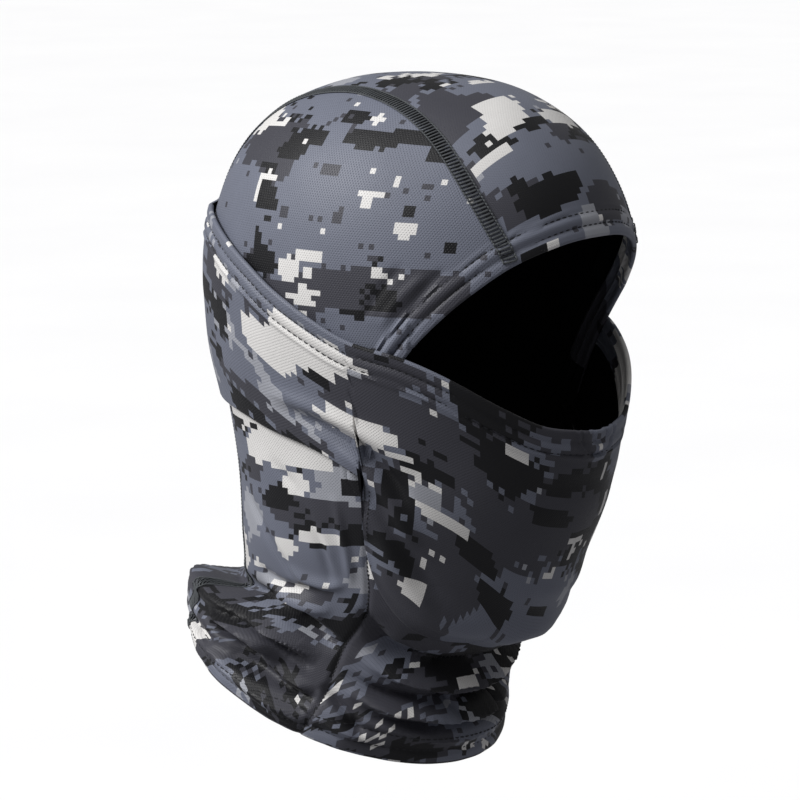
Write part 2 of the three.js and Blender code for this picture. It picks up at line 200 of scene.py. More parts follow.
WING_CORNER = [SEAM_ANGLE, 0.59]
CHIN_CORNER = [SEAM_ANGLE, 0.7]
brow_edge = line([
    [-62, 0.402], [-54, 0.348], [-44, 0.298], [-32, 0.256], [-16, 0.229], [0, 0.222], [16, 0.229],
    [32, 0.256], [44, 0.298], [54, 0.348], [62, 0.402], [68, 0.465], WING_CORNER])
mask_edge = line([
    [0, 0.525], [12, 0.52], [24, 0.508], [36, 0.478], [50, 0.433], [62, 0.402], [SEAM_ANGLE, 0.382],
    [86, 0.35], [97, 0.314], [109, 0.274], [128, 0.23], [152, 0.205]])
wing_seam = line([WING_CORNER, [90, 0.55], [106, 0.528], [120, 0.512], [148, 0.497]])
side_seam = line([
    WING_CORNER, [SEAM_ANGLE, 0.65], [74, 0.73], [71, 0.79], [66, 0.84], [63, 0.885], [63, 0.93],
    [67, BOTTOM_SHARE]])
chin_fold = line([
    [0, 0.838], [18, 0.836], [38, 0.831], [52, 0.817], [63, 0.793], [70, 0.76], CHIN_CORNER])


def piece(curve, start, end):
    return lambda t: curve(start + (end - start) * np.asarray(t, float))


def mirror(curve):
    return lambda t: curve(t) * np.array([-1.0, 1.0])


def raised(curve, rise):
    return lambda t: curve(t) - np.array([0.0, rise])


def straight(start, end):
    a, b = np.asarray(start, float), np.asarray(end, float)
    return lambda t: a + (b - a) * np.asarray(t, float)[..., None]


def where(curve, angle):
    t = np.linspace(-0.1, 1.1, 2401)
    return float(np.interp(angle, curve(t)[:, 0], t))


def both_sides(angle, curve):
    """The same edge on both sides of the face, level past the side seams."""
    t = np.linspace(0, 1, 1601)
    table = curve(t)

    def made(s):
        turn = angle * (2 * np.asarray(s, float) - 1)
        return np.stack([turn, np.interp(np.abs(turn), table[:, 0], table[:, 1])], -1)

    return made


def beside(curve, t, distance):
    """Places at a distance to the side of a curve: up from one that runs round with rising angle."""
    step = 1e-3
    place = curve(t)
    a, d = np.array([step, 0.0]), np.array([0.0, step])
    around = (on_head(place + a) - on_head(place - a)) / (2 * step)
    down = (on_head(place + d) - on_head(place - d)) / (2 * step)
    normal = unit(np.cross(down, around))
    ahead = on_head(curve(t + step)) - on_head(curve(t - step))
    side = unit(np.cross(normal, ahead)) * np.asarray(distance, float)[..., None]
    rr, dd, rd = ((p * q).sum(-1) for p, q in ((around, around), (down, down), (around, down)))
    rs, ds = (around * side).sum(-1), (down * side).sum(-1)
    area = rr * dd - rd * rd
    return place + np.stack([(rs * dd - ds * rd) / area, (ds * rr - rs * rd) / area], -1)


def inset(curve, distance):
    """The line at a distance above another, or below it where the distance is negative."""
    return lambda t: beside(curve, t, np.full(np.shape(t), distance))


# ---- Crown strip ----


def strip_half(along):
    t = np.linspace(0, 1, 801)
    table = catmull(STRIP_WIDTHS, t)
    return np.interp(along, table[:, 0], table[:, 1])


def brow_turn(x):
    """Turn up from straight ahead, about the widest ring, at which the brow edge passes x."""
    angle = np.linspace(-62, 62, 801)
    t = np.linspace(0, 1, 3001)
    table = brow_edge(t)
    point = on_head(np.stack([angle, np.interp(angle, table[:, 0], table[:, 1])], -1))
    turn = np.arctan2(point[:, 2] - FABRIC + CROWN_HEIGHT, -point[:, 1])
    return np.interp(x, point[:, 0], turn)


def forward_share(front, back, y):
    return (back - front - 2 * y) / (back + front)


def strip_place(along, x):
    """[angle, drop] and [x, y, z] on the strip at a sideways distance x from the middle."""
    along, x = np.broadcast_arrays(np.asarray(along, float), np.asarray(x, float))
    turn = brow_turn(x) + (math.pi - brow_turn(x)) * np.clip(along / STRIP_TURN, 0, 1)
    ahead, up = np.cos(turn), np.sin(turn)
    near, far = np.zeros_like(x), np.full_like(x, 4 * HALF_HEAD)
    for _ in range(45):
        reach = (near + far) / 2
        y, drop = -reach * ahead, CROWN_HEIGHT - reach * up
        half, front, back, taper = ring_at(np.maximum(drop, 0))
        forward = forward_share(front, back, y)
        room = half * np.sqrt(np.clip(1 - forward**2, 0, 1)) * (1 - taper * forward)
        inside = (drop > 0) & (np.abs(forward) < 1) & (np.abs(x) < room)
        near, far = np.where(inside, reach, near), np.where(inside, far, reach)
    aside = x / np.maximum(half * (1 - taper * forward), 1e-6)
    upper = np.stack([np.degrees(np.arctan2(aside, forward)), np.maximum(drop, 0)], -1)
    upper_point = np.stack([x, y, FABRIC - drop], -1)
    share = np.clip((along - STRIP_TURN) / (1 - STRIP_TURN), 0, 2)
    low_drop = CROWN_HEIGHT + (BOTTOM_DROP - CROWN_HEIGHT) * share
    a, b = np.full_like(x, 90.0), np.full_like(x, 180.0)
    for _ in range(40):
        middle = (a + b) / 2
        wide = on_head(np.stack([middle, low_drop], -1))[..., 0] > np.abs(x)
        a, b = np.where(wide, middle, a), np.where(wide, b, middle)
    lower = np.stack([np.where(x < 0, -1, 1) * middle, low_drop], -1)
    is_low = (along > STRIP_TURN)[..., None]
    return np.where(is_low, lower, upper), np.where(is_low, on_head(lower), upper_point)


def strip_edge(start, end):
    """The strip's left edge between two shares of its length."""
    s = np.linspace(-0.02, 1.02, 700)
    along = start + (end - start) * s
    table = strip_place(along, strip_half(along))[0]
    return lambda t: np.stack([np.interp(t, s, table[:, k]) for k in (0, 1)], -1)


# ---- Folds of the worn cloth: ridges and valleys along paths of [angle, share of the height] ----
# Each has a height (negative for a valley), a half width, how far it slides down, and its path.

NECK_FOLDS = [
    # the roll at the back of the neck, and the dip above it
    (11.0, 6.5, 1.0, [[-178, 0.9], [-156, 0.885], [-136, 0.862], [-116, 0.853], [-98, 0.856], [-82, 0.868],
        [-70, 0.884]]),
    (6.0, 7.0, 2.0, [[-175, 0.93], [-150, 0.918], [-130, 0.905], [-114, 0.9], [-100, 0.905]]),
    (-6.0, 4.0, 0.0, [[-165, 0.842], [-140, 0.82], [-118, 0.817], [-100, 0.823], [-86, 0.838], [-72, 0.852],
        [-62, 0.862]]),
    (2.2, 3.0, 2.0, [[-112, 0.79], [-100, 0.803], [-90, 0.81], [-80, 0.812]]),
    # a finger of cloth lying in front of the roll, with a hollow over and under it
    (6.5, 3.4, 2.5, [[-118, 0.884], [-108, 0.872], [-98, 0.873], [-89, 0.884], [-82, 0.9]]),
    (-5.0, 2.2, 0.0, [[-122, 0.872], [-110, 0.857], [-99, 0.856], [-88, 0.866], [-78, 0.88], [-70, 0.892]]),
    (-4.5, 2.4, 0.0, [[-116, 0.9], [-106, 0.89], [-97, 0.892], [-89, 0.903]]),
    # the hollow under them, and the roll that the hem makes
    (-4.2, 5.0, 0.0, [[-104, 0.922], [-94, 0.916], [-84, 0.918], [-73, 0.926], [-62, 0.926]]),
    (3.4, 2.6, 1.0, [[-92, 0.895], [-83, 0.906], [-74, 0.915], [-66, 0.917]]),
    (3.4, 4.0, 1.0, [[-150, 0.952], [-128, 0.943], [-108, 0.942], [-90, 0.948], [-74, 0.957], [-60, 0.96]]),
    (-3.0, 2.6, 0.0, [[-140, 0.93], [-124, 0.925], [-110, 0.926]]),
    # under the chin
    (-6.0, 4.0, 0.0, [[-72, 0.8], [-66, 0.82], [-52, 0.848], [-36, 0.862], [-18, 0.868], [0, 0.866],
        [18, 0.86], [40, 0.85], [62, 0.83]]),
    (5.0, 3.4, 2.0, [[-64, 0.858], [-48, 0.872], [-32, 0.88], [-14, 0.884], [2, 0.88], [16, 0.868],
        [34, 0.86], [55, 0.858]]),
    (-4.6, 2.4, 0.0, [[-64, 0.882], [-48, 0.896], [-32, 0.902], [-15, 0.905], [6, 0.903], [24, 0.898],
        [45, 0.893]]),
    (4.0, 2.6, 1.5, [[-60, 0.9], [-44, 0.912], [-26, 0.918], [-8, 0.921], [12, 0.918], [34, 0.91]]),
    (-3.4, 2.0, 0.0, [[-54, 0.918], [-34, 0.93], [-16, 0.932], [4, 0.93], [20, 0.925], [44, 0.92]]),
    (2.6, 2.6, 0.5, [[-48, 0.935], [-28, 0.943], [-8, 0.946], [14, 0.943], [40, 0.94]]),
    (-3.0, 1.8, 0.0, [[-30, 0.89], [-20, 0.9], [-12, 0.912], [-6, 0.928]]),
    (-3.4, 1.8, 0.0, [[4, 0.885], [10, 0.9], [13, 0.918], [14, 0.935]]),
    (-2.6, 2.2, 0.0, [[-66, 0.905], [-58, 0.92], [-50, 0.94], [-44, 0.958]]),
    (2.4, 2.6, 0.0, [[-70, 0.935], [-62, 0.945], [-52, 0.953], [-40, 0.957]]),
    # drag lines on the side of the neck, down from the wing
    (-1.4, 3.0, 0.0, [[-110, 0.58], [-100, 0.62], [-92, 0.68], [-87, 0.74], [-84, 0.79]]),
    (1.2, 3.0, 0.0, [[-104, 0.6], [-95, 0.65], [-88, 0.71], [-83, 0.77]]),
    (-1.3, 2.8, 0.0, [[-128, 0.64], [-117, 0.69], [-107, 0.74], [-98, 0.78]]),
    (1.2, 2.2, 0.0, [[-86, 0.62], [-83, 0.68], [-80, 0.73], [-78, 0.78]]),
    (-2.2, 2.6, 0.0, [[-120, 0.77], [-108, 0.785], [-97, 0.79], [-87, 0.785]]),
    (1.4, 2.4, 1.0, [[-104, 0.75], [-95, 0.77], [-86, 0.775], [-79, 0.77]]),
]
# the same round the wearer's left, more simply
LEFT_NECK_FOLDS = [
    (9.0, 6.5, 2.0, [[174, 0.9], [150, 0.888], [128, 0.868], [106, 0.86], [84, 0.868], [66, 0.885]]),
    (-5.5, 4.2, 0.0, [[170, 0.845], [142, 0.822], [116, 0.825], [92, 0.835], [70, 0.85]]),
    (-5.5, 3.4, 0.0, [[128, 0.902], [108, 0.892], [90, 0.9], [72, 0.915], [56, 0.925]]),
    (3.6, 3.0, 1.0, [[124, 0.92], [104, 0.91], [86, 0.918], [70, 0.93]]),
    (3.0, 4.0, 1.0, [[132, 0.945], [108, 0.938], [86, 0.944], [64, 0.953], [46, 0.955]]),
    (-2.4, 3.0, 0.0, [[104, 0.78], [94, 0.8], [84, 0.812]]),
    (-1.4, 3.0, 0.0, [[110, 0.58], [98, 0.65], [90, 0.73], [84, 0.79]]),
    (-3.0, 3.0, 0.0, [[68, 0.865], [64, 0.88], [60, 0.895]]),
]

HEAD_FOLDS = [
    # pull lines from the brow corner up the side panel, and small waves on the crown
    (0.9, 2.2, 0.0, [[-68, 0.36], [-62, 0.31], [-55, 0.27]]),
    (-0.8, 2.0, 0.0, [[-72, 0.35], [-67, 0.3], [-61, 0.255]]),
    (-0.7, 1.8, 0.0, [[-62, 0.345], [-56, 0.295], [-50, 0.262]]),
    (0.9, 2.2, 0.0, [[68, 0.36], [62, 0.31], [55, 0.27]]),
    (-0.8, 2.0, 0.0, [[72, 0.35], [66, 0.3], [60, 0.255]]),
]

MASK_FOLDS = [
    # the pull from the wing's lower corner across the cheek
    (-3.2, 3.4, 0.0, [[-101, 0.485], [-90, 0.505], [-81, 0.528], [-72, 0.56], [-66, 0.6], [-62, 0.64]]),
    (2.0, 4.0, 0.0, [[-104, 0.465], [-92, 0.482], [-80, 0.503], [-69, 0.535], [-60, 0.58]]),
    (1.8, 3.2, 0.0, [[-84, 0.545], [-77, 0.568], [-70, 0.605], [-64, 0.66], [-58, 0.7]]),
    (-1.9, 3.4, 0.0, [[-76, 0.6], [-70, 0.645], [-63, 0.7], [-54, 0.755], [-44, 0.79]]),
    (1.4, 3.0, 0.0, [[-72, 0.66], [-66, 0.71], [-57, 0.76], [-46, 0.795]]),
    (-2.6, 3.6, 0.0, [[101, 0.485], [90, 0.505], [80, 0.535], [70, 0.58], [62, 0.64]]),
    (1.5, 3.4, 0.0, [[84, 0.55], [74, 0.6], [65, 0.66], [56, 0.71]]),
    (-1.5, 3.4, 0.0, [[76, 0.61], [68, 0.67], [58, 0.74], [46, 0.785]]),
    # across the nose and the chin
    (-1.0, 5.0, 0.0, [[-34, 0.63], [-20, 0.612], [0, 0.606], [20, 0.612], [34, 0.63]]),
    (1.2, 6.0, 0.0, [[-40, 0.752], [-22, 0.772], [0, 0.778], [22, 0.772], [40, 0.752]]),
]


FOLD_FADE = 0.3  # share of its path over which a fold fades in, and out again
NECK_RISE = 1.25  # the folds of the neck are this much higher than listed
NECK_WIDTH = 0.88  # and this much of their listed width
HEM_RISE = 0.8
HEM_STEP = 1.4  # width of the step from a turned hem down to the cloth
ROW_DIP = 1.0  # how far a row of stitches draws the hem in
ROW_WIDTH = 0.8


def near_path(points, path, reach):
    """For points within reach of a path on the head: which, how far, and the share along it."""
    t = np.linspace(0, 1, 60)
    track = on_head(line(path)(t))
    low, high = track.min(0) - reach, track.max(0) + reach
    which = np.nonzero(((points > low) & (points < high)).all(-1))[0]
    if not len(which):
        return which, np.zeros(0), np.zeros(0)
    gap = np.linalg.norm(points[which, None, :] - track[None], axis=-1)
    k = gap.argmin(1)
    return which, gap[np.arange(len(which)), k], t[k]


def fold_field(points, folds):
    """Height out and slide down, in millimetres, that the folds give to points on the head."""
    flat = points.reshape(-1, 3)
    height, slide = np.zeros(len(flat)), np.zeros(len(flat))
    for rise, width, drift, path in folds:
        which, gap, t = near_path(flat, path, 3 * width)
        fade = smooth(t / FOLD_FADE) * smooth((1 - t) / FOLD_FADE)
        shape = np.exp(-((gap / width) ** 2)) * fade
        np.add.at(height, which, rise * shape)
        np.add.at(slide, which, drift * shape)
    return height.reshape(points.shape[:-1]), slide.reshape(points.shape[:-1])


def ripples(points, size, seed):
    """Slow smooth noise over the cloth, made of a few crossed waves."""
    draws = np.random.default_rng(seed)
    total = np.zeros(points.shape[:-1])
    for _ in range(7):
        way = unit(draws.normal(size=3)) * draws.uniform(0.6, 1.6) * 2 * math.pi / size
        total += np.sin(points @ way + draws.uniform(0, 6.28))
    return total / 7


def edge_gap(points, curve):
    """Distance from points to a curve on the head."""
    track = on_head(curve(np.linspace(0, 1, 400)))
    flat = points.reshape(-1, 3)
    gap = np.full(len(flat), 1e3)
    low, high = track.min(0) - 20, track.max(0) + 20
    which = np.nonzero(((flat > low) & (flat < high)).all(-1))[0]
    for part in np.array_split(which, max(1, len(which) // 20000)):
        gap[part] = np.linalg.norm(flat[part, None, :] - track[None], axis=-1).min(1)
    return gap.reshape(points.shape[:-1])


def hem_relief(gap, depth):
    """A turned hem stands proud of the cloth and is drawn in along its rows of stitches."""
    rows = sum(np.exp(-(((gap - row) / ROW_WIDTH) ** 2)) for row in (ROW_INSET, ROW_INSET + ROW_PITCH))
    return HEM_RISE * smooth((depth - gap) / HEM_STEP) - ROW_DIP * rows


def seam_relief(gap, depth, width):
    return -depth * np.exp(-((gap / width) ** 2))


def hood_field(place, points):
    """Height out and slide down over the hood: folds, ripples, turned hems and drawn-in side seams."""
    neck = [(NECK_RISE * rise, NECK_WIDTH * width, drift, path)
            for rise, width, drift, path in NECK_FOLDS + LEFT_NECK_FOLDS]
    height, slide = fold_field(points, neck + HEAD_FOLDS)
    share = place[..., 1] / WORN_HEIGHT
    slack = smooth((share - 0.76) / 0.08)
    height = height + (0.25 + 0.5 * slack) * ripples(points, 34, 3) + 0.35 * slack * ripples(points, 15, 5)
    height = height + hem_relief(edge_gap(points, piece(brow_edge, where(brow_edge, -62), 0.97)), BROW_HEM)
    height = height + hem_relief(edge_gap(points, mirror(brow_edge)), BROW_HEM) * (place[..., 0] < -60)
    height = height + hem_relief(BOTTOM_DROP - place[..., 1], BOTTOM_HEM) * smooth((share - 0.9) / 0.02)
    for side in (side_seam, mirror(side_seam)):
        height = height + seam_relief(edge_gap(points, side), 0.9, 1.3)
    return height, slide


WING_END = float(mask_edge(np.array(1.0))[0])
TIP_LIFT = FABRIC + 0.1


def wing_free(place):
    """1 over the face, falling to 0 where the wing's tip is sewn into the crown seam."""
    return smooth((WING_END - 1.5 - np.abs(place[..., 0])) / 9)


def mask_lift(place):
    """How far the mask stands off the hood: fully over the face, just clear of it at the wing's tip."""
    return TIP_LIFT + (MASK_LIFT - TIP_LIFT) * wing_free(place)


def mask_field(place, points):
    """Height out and slide down over the mask: folds, ripples, the turned hem and the tuck of the chin."""
    height, slide = fold_field(points, MASK_FOLDS)
    height = height + 0.35 * ripples(points, 42, 11)
    for edge in (mask_edge, mirror(mask_edge)):
        height = height + hem_relief(edge_gap(points, edge), MASK_HEM)
    for edge in (chin_fold, mirror(chin_fold)):
        gap = edge_gap(points, edge)
        height = height + 2.4 * np.exp(-(((gap - 11) / 8) ** 2)) - 2.0 * np.exp(-((gap / 4) ** 2))
    return height * wing_free(place), slide


# ---- Meshes ----

THREAD_SIDES = 6
THREAD_FLATNESS = 0.75
THREAD_TIP = 0.45  # radius of a stitch where it dips into the cloth, as a share of its own
STITCH_RISE = 0.28  # how far a stitch bows out between its ends
STITCH_DIP = 0.22  # how far its ends go in
RUNG_RADIUS = 0.42
RUNG_LIFT = 0.42
RUNG_BEND = 0.34  # how far a rung's ends bend down from its middle
CHAIN_RADIUS = 0.36
CHAIN_LIFT = 0.3
CHAIN_RISE = 0.18
CHAIN_OVERLAP = 1.25  # length of a link in pitches


def moved(place, points, normal, down, field, lift):
    height, slide = field(place, points)
    return points + normal * (height + lift)[..., None] + down * slide[..., None]


def grid_normals(points):
    across = np.gradient(points, axis=1)
    along = np.gradient(points, axis=0)
    return unit(np.cross(across, along))


def coons(low, high, first, last, cells_u, cells_v):
    """Places of a patch between four edges: rows run from low to high."""
    u, v = np.linspace(0, 1, cells_u + 1), np.linspace(0, 1, cells_v + 1)
    lo, hi, fi, la = low(u)[None], high(u)[None], first(v)[:, None], last(v)[:, None]
    uu, vv = u[None, :, None], v[:, None, None]
    corners = (lo[:, :1] * (1 - uu) + lo[:, -1:] * uu) * (1 - vv)
    corners = corners + (hi[:, :1] * (1 - uu) + hi[:, -1:] * uu) * vv
    return lo * (1 - vv) + hi * vv + fi * (1 - uu) + la * uu - corners


def mesh_object(name, verts, faces, materials, uv=None, material_index=None):
    mesh = bpy.data.meshes.new(name)
    mesh.from_pydata((verts * MM).tolist(), [], faces)
    for one in materials:
        mesh.materials.append(one)
    if material_index is not None:
        mesh.polygons.foreach_set("material_index", material_index)
    if uv is not None:
        layer = mesh.uv_layers.new(name="ClothUV")
        loops = np.zeros(len(mesh.loops), np.int32)
        mesh.loops.foreach_get("vertex_index", loops)
        layer.data.foreach_set("uv", (uv[loops] * MM).astype(np.float32).ravel())
    mesh.polygons.foreach_set("use_smooth", np.ones(len(mesh.polygons), bool))
    mesh.update()
    mesh.set_sharp_from_angle(angle=math.radians(50))
    made = bpy.data.objects.new(name, mesh)
    bpy.context.scene.collection.objects.link(made)
    return made


def quads(rows, cols, start=0, flip=False):
    i = np.arange(rows * cols).reshape(rows, cols) + start
    q = np.stack([i[:-1, :-1], i[:-1, 1:], i[1:, 1:], i[1:, :-1]], -1).reshape(-1, 4)
    return q[:, ::-1] if flip else q


def cloth(name, outer, uv, material, outward, closed_round=None):
    """A sheet of knit with its own thickness: the print outside, and inside the unprinted reverse painted
    near-black as painted shade.
    outward is the way that the print faces at the middle of the first row, and closed_round is the
    radius that the print runs at where the sheet is a closed ring."""
    closed = closed_round is not None
    if closed:
        outer = np.concatenate([outer, outer[:, :1]], 1)
        uv = np.concatenate([uv, uv[:, :1] + np.array([2 * math.pi * closed_round, 0])], 1)
    rows, cols = outer.shape[:2]
    normal = grid_normals(outer)
    if closed:
        normal[:, 0] = normal[:, -1] = unit(normal[:, 0] + normal[:, -1])
    if (normal[0, cols // 2] * outward).sum() < 0:
        normal = -normal
    inner = outer - normal * FABRIC
    count = rows * cols
    a, b = outer[0, 1] - outer[0, 0], outer[1, 0] - outer[0, 0]
    flip = np.dot(np.cross(a, b), normal[0, 0]) < 0
    faces = [quads(rows, cols, 0, flip), quads(rows, cols, count, not flip)]
    i = np.arange(count).reshape(rows, cols)
    border = [(i[0], False), (i[-1], True)] if closed else [
        (i[0], False), (i[-1], True), (i[:, 0], True), (i[:, -1], False)]
    for rim, turned in border:
        q = np.stack([rim[:-1], rim[:-1] + count, rim[1:] + count, rim[1:]], -1)
        faces.append(q[:, ::-1] if turned != flip else q)
    verts = np.concatenate([outer.reshape(-1, 3), inner.reshape(-1, 3)])
    uv = uv.reshape(-1, 2)
    every = np.concatenate(faces)
    lined = np.zeros(len(every), np.int32)
    lined[len(faces[0]):len(faces[0]) + len(faces[1])] = 1
    return mesh_object(name, verts, every.tolist(), [material, reverse_painted_shade], np.concatenate([uv, uv]), lined)


def tubes(paths, normals, radius):
    """Vertices and faces of many short threads, a little flattened: paths is (threads, points, 3)."""
    count, steps = paths.shape[:2]
    ahead = unit(np.gradient(paths, axis=1))
    side = unit(np.cross(ahead, normals))
    up = np.cross(side, ahead)
    turn = np.arange(THREAD_SIDES) * 2 * math.pi / THREAD_SIDES
    across, over = np.cos(turn)[:, None], THREAD_FLATNESS * np.sin(turn)[:, None]
    taper = np.ones(steps)
    taper[0] = taper[-1] = THREAD_TIP
    ring = radius * taper[None, :, None, None] * (across * side[:, :, None, :] + over * up[:, :, None, :])
    verts = (paths[:, :, None, :] + ring).reshape(-1, 3)
    i = np.arange(count * steps * THREAD_SIDES).reshape(count, steps, THREAD_SIDES)
    j = np.roll(i, -1, axis=2)
    body = np.stack([i[:, :-1], j[:, :-1], j[:, 1:], i[:, 1:]], -1).reshape(-1, 4)[:, ::-1]
    caps = i[:, 0].tolist() + i[:, -1, ::-1].tolist()
    return verts, body.tolist(), caps


def thread_object(name, parts, material):
    verts, faces, start = [], [], 0
    for v, body, caps in parts:
        verts.append(v)
        faces += [[k + start for k in f] for f in body + caps]
        start += len(v)
    return mesh_object(name, np.concatenate(verts), faces, [material])


def run_of(curve, surface, pitch, start=0.0, end=1.0):
    """Shares along a curve that lie a pitch apart on its surface."""
    t = np.linspace(start, end, 1500)
    points = surface(curve(t))
    length = np.concatenate([[0], np.cumsum(np.linalg.norm(np.diff(points, axis=0), axis=1))])
    count = max(2, int(length[-1] / pitch))
    return np.interp(np.linspace(0, length[-1], count + 1), length, t), length[-1]


def hood_surface(place):
    points = on_head(place)
    normal, _, down = frames_at(place)
    return moved(place, points, normal, down, hood_field, 0)


def mask_surface(place):
    points = on_head(place)
    normal, _, down = frames_at(place)
    return moved(place, points, normal, down, mask_field, mask_lift(place))


def stitch_row(curve, surface, pitch=3.0, length=2.35, radius=0.3, lift=0.12, start=0.0, end=1.0):
    """A row of straight stitches along a curve, each dipping into the cloth at its ends."""
    shares, total = run_of(curve, surface, pitch, start, end)
    share = length / total * (end - start)
    steps = np.linspace(0, 1, 5)
    t = shares[:-1, None] + share * steps[None]
    place = curve(t)
    normal = frames_at(place)[0]
    arch = lift + STITCH_RISE * np.sin(math.pi * steps) - STITCH_DIP
    points = surface(place) + normal * arch[None, :, None]
    return tubes(points, normal, radius)


def ladder(curve, surface, width, pitch=1.55, start=0.0, end=1.0):
    """A flatlock seam: rungs across, and a chain along each side."""
    shares, total = run_of(curve, surface, pitch, start, end)
    steps = np.linspace(-1, 1, 7)
    slant = 0.5 * pitch / total * (end - start)
    t = shares[:-1, None] + slant * (1 + steps[None]) / 2
    place = beside(curve, t, np.broadcast_to(steps[None] * width / 2, t.shape))
    normal = frames_at(place)[0]
    arch = RUNG_LIFT - RUNG_BEND * steps**4
    rungs = tubes(surface(place) + normal * arch[None, :, None], normal, RUNG_RADIUS)
    parts = [rungs]
    for side in (-1, 1):
        reach = CHAIN_OVERLAP * pitch / total * (end - start)
        s = np.linspace(0, 1, 5)
        t = shares[:-1, None] + reach * s[None]
        place = beside(curve, t, np.full(t.shape, side * width / 2))
        normal = frames_at(place)[0]
        arch = CHAIN_LIFT + CHAIN_RISE * np.sin(math.pi * s)
        parts.append(tubes(surface(place) + normal * arch[None, :, None], normal, CHAIN_RADIUS))
    return parts


# ---- Materials ----


class Nodes:
    """Short calls for making and linking shader nodes."""

    def __init__(self, tree):
        self.tree = tree

    def add(self, kind, inputs=(), **settings):
        node = self.tree.nodes.new(kind)
        for key, value in settings.items():
            setattr(node, key, value)
        for key, value in dict(inputs).items():
            socket = node.inputs[key]
            if isinstance(value, bpy.types.NodeSocket):
                self.tree.links.new(value, socket)
            else:
                socket.default_value = value
        return node

    def group(self, tree, **inputs):
        return self.add("ShaderNodeGroup", inputs, node_tree=tree)

    def math(self, operation, a, b=0.0, c=0.0, clamp=False):
        return self.add("ShaderNodeMath", {0: a, 1: b, 2: c}, operation=operation, use_clamp=clamp).outputs[0]

    def vector(self, operation, a, b=(0, 0, 0)):
        return self.add("ShaderNodeVectorMath", {0: a, 1: b}, operation=operation).outputs[0]

    def mix(self, factor, a, b):
        node = self.add("ShaderNodeMix", data_type="RGBA")
        for socket, value in ((node.inputs[0], factor), (node.inputs[6], a), (node.inputs[7], b)):
            if isinstance(value, bpy.types.NodeSocket):
                self.tree.links.new(value, socket)
            else:
                socket.default_value = value
        return node.outputs[2]


def new_group(name, inputs, outputs):
    tree = bpy.data.node_groups.new(name, "ShaderNodeTree")
    for key, kind, value in inputs:
        socket = tree.interface.new_socket(key, in_out="INPUT", socket_type="NodeSocket" + kind)
        if value is not None:
            socket.default_value = value
    for key, kind in outputs:
        tree.interface.new_socket(key, in_out="OUTPUT", socket_type="NodeSocket" + kind)
    nodes = Nodes(tree)
    entry = tree.nodes.new("NodeGroupInput")
    leave = tree.nodes.new("NodeGroupOutput")
    return tree, nodes, entry, leave


def linear(red, green, blue):
    """A colour chosen as it is seen on a screen, 0 to 255, as scene-linear values."""
    return tuple(((c / 255 + 0.055) / 1.055) ** 2.4 for c in (red, green, blue)) + (1.0,)


SQUARE = 2.45 * MM  # one square of the print
TONES = {
    "ground": linear(109, 113, 127),
    "pale": linear(158, 160, 168),
    "dark": linear(64, 64, 72),
    "black": linear(17, 17, 21),
    "white": linear(224, 222, 220),
}


def camo_print_group():
    """Digital camouflage on squares: a ground with pale, dark, black and white patches over it."""
    tree, n, entry, leave = new_group(
        "camo_print",
        [("UV", "Vector", None), ("Seed", "Float", 0.0), ("Pale", "Float", 0.0), ("Dark", "Float", 0.0),
         ("Black", "Float", 0.0), ("White", "Float", 0.0)],
        [("Color", "Color")])
    square = n.vector("SNAP", entry.outputs["UV"], (SQUARE, SQUARE, SQUARE))
    beside_it = n.vector("ADD", entry.outputs["UV"], (SQUARE, 0, 0))
    pair = n.vector("SNAP", beside_it, (2 * SQUARE, SQUARE, SQUARE))
    seed = n.add("ShaderNodeCombineXYZ", {2: entry.outputs["Seed"]}).outputs[0]

    def field(shift, size, stretch, jag, push):
        at = n.vector("ADD", n.vector("MULTIPLY", square, (1 / size / MM / stretch, 1 / size / MM, 0)), seed)
        at = n.vector("ADD", at, (shift, -shift, shift * 0.7))
        soft = n.add("ShaderNodeTexNoise", {"Vector": at, "Scale": 1.0, "Detail": 1.6, "Roughness": 0.55})
        one = n.add("ShaderNodeTexWhiteNoise", {"Vector": n.vector("ADD", square, (shift, shift, shift))})
        two = n.add("ShaderNodeTexWhiteNoise", {"Vector": n.vector("ADD", pair, (shift, shift, shift))})
        rough = n.math("ADD", n.math("MULTIPLY_ADD", one.outputs[0], jag, -jag / 2),
                       n.math("MULTIPLY_ADD", two.outputs[0], jag, -jag / 2))
        return n.math("ADD", n.math("ADD", soft.outputs[0], rough), push)

    masks = {}
    for key, shift, size, stretch, jag, level in (
            ("Pale", 3.1, 24, 1.5, 0.05, 0.60), ("Dark", 7.7, 36, 1.6, 0.05, 0.535),
            ("Black", 12.3, 27, 1.5, 0.06, 0.60), ("White", 21.9, 30, 1.4, 0.05, 0.62)):
        value = field(shift, size, stretch, jag, entry.outputs[key])
        masks[key] = n.math("GREATER_THAN", value, level)
    speck = n.add("ShaderNodeTexWhiteNoise", {"Vector": n.vector("ADD", square, (31, 17, 5))}).outputs[0]
    color = n.mix(masks["Pale"], TONES["ground"], TONES["pale"])
    color = n.mix(n.math("GREATER_THAN", speck, 0.978), color, TONES["dark"])
    color = n.mix(masks["Dark"], color, TONES["dark"])
    color = n.mix(masks["Black"], color, TONES["black"])
    color = n.mix(masks["White"], color, TONES["white"])
    color = n.mix(n.math("LESS_THAN", speck, 0.004), color, TONES["white"])
    tree.links.new(color, leave.inputs["Color"])
    return tree


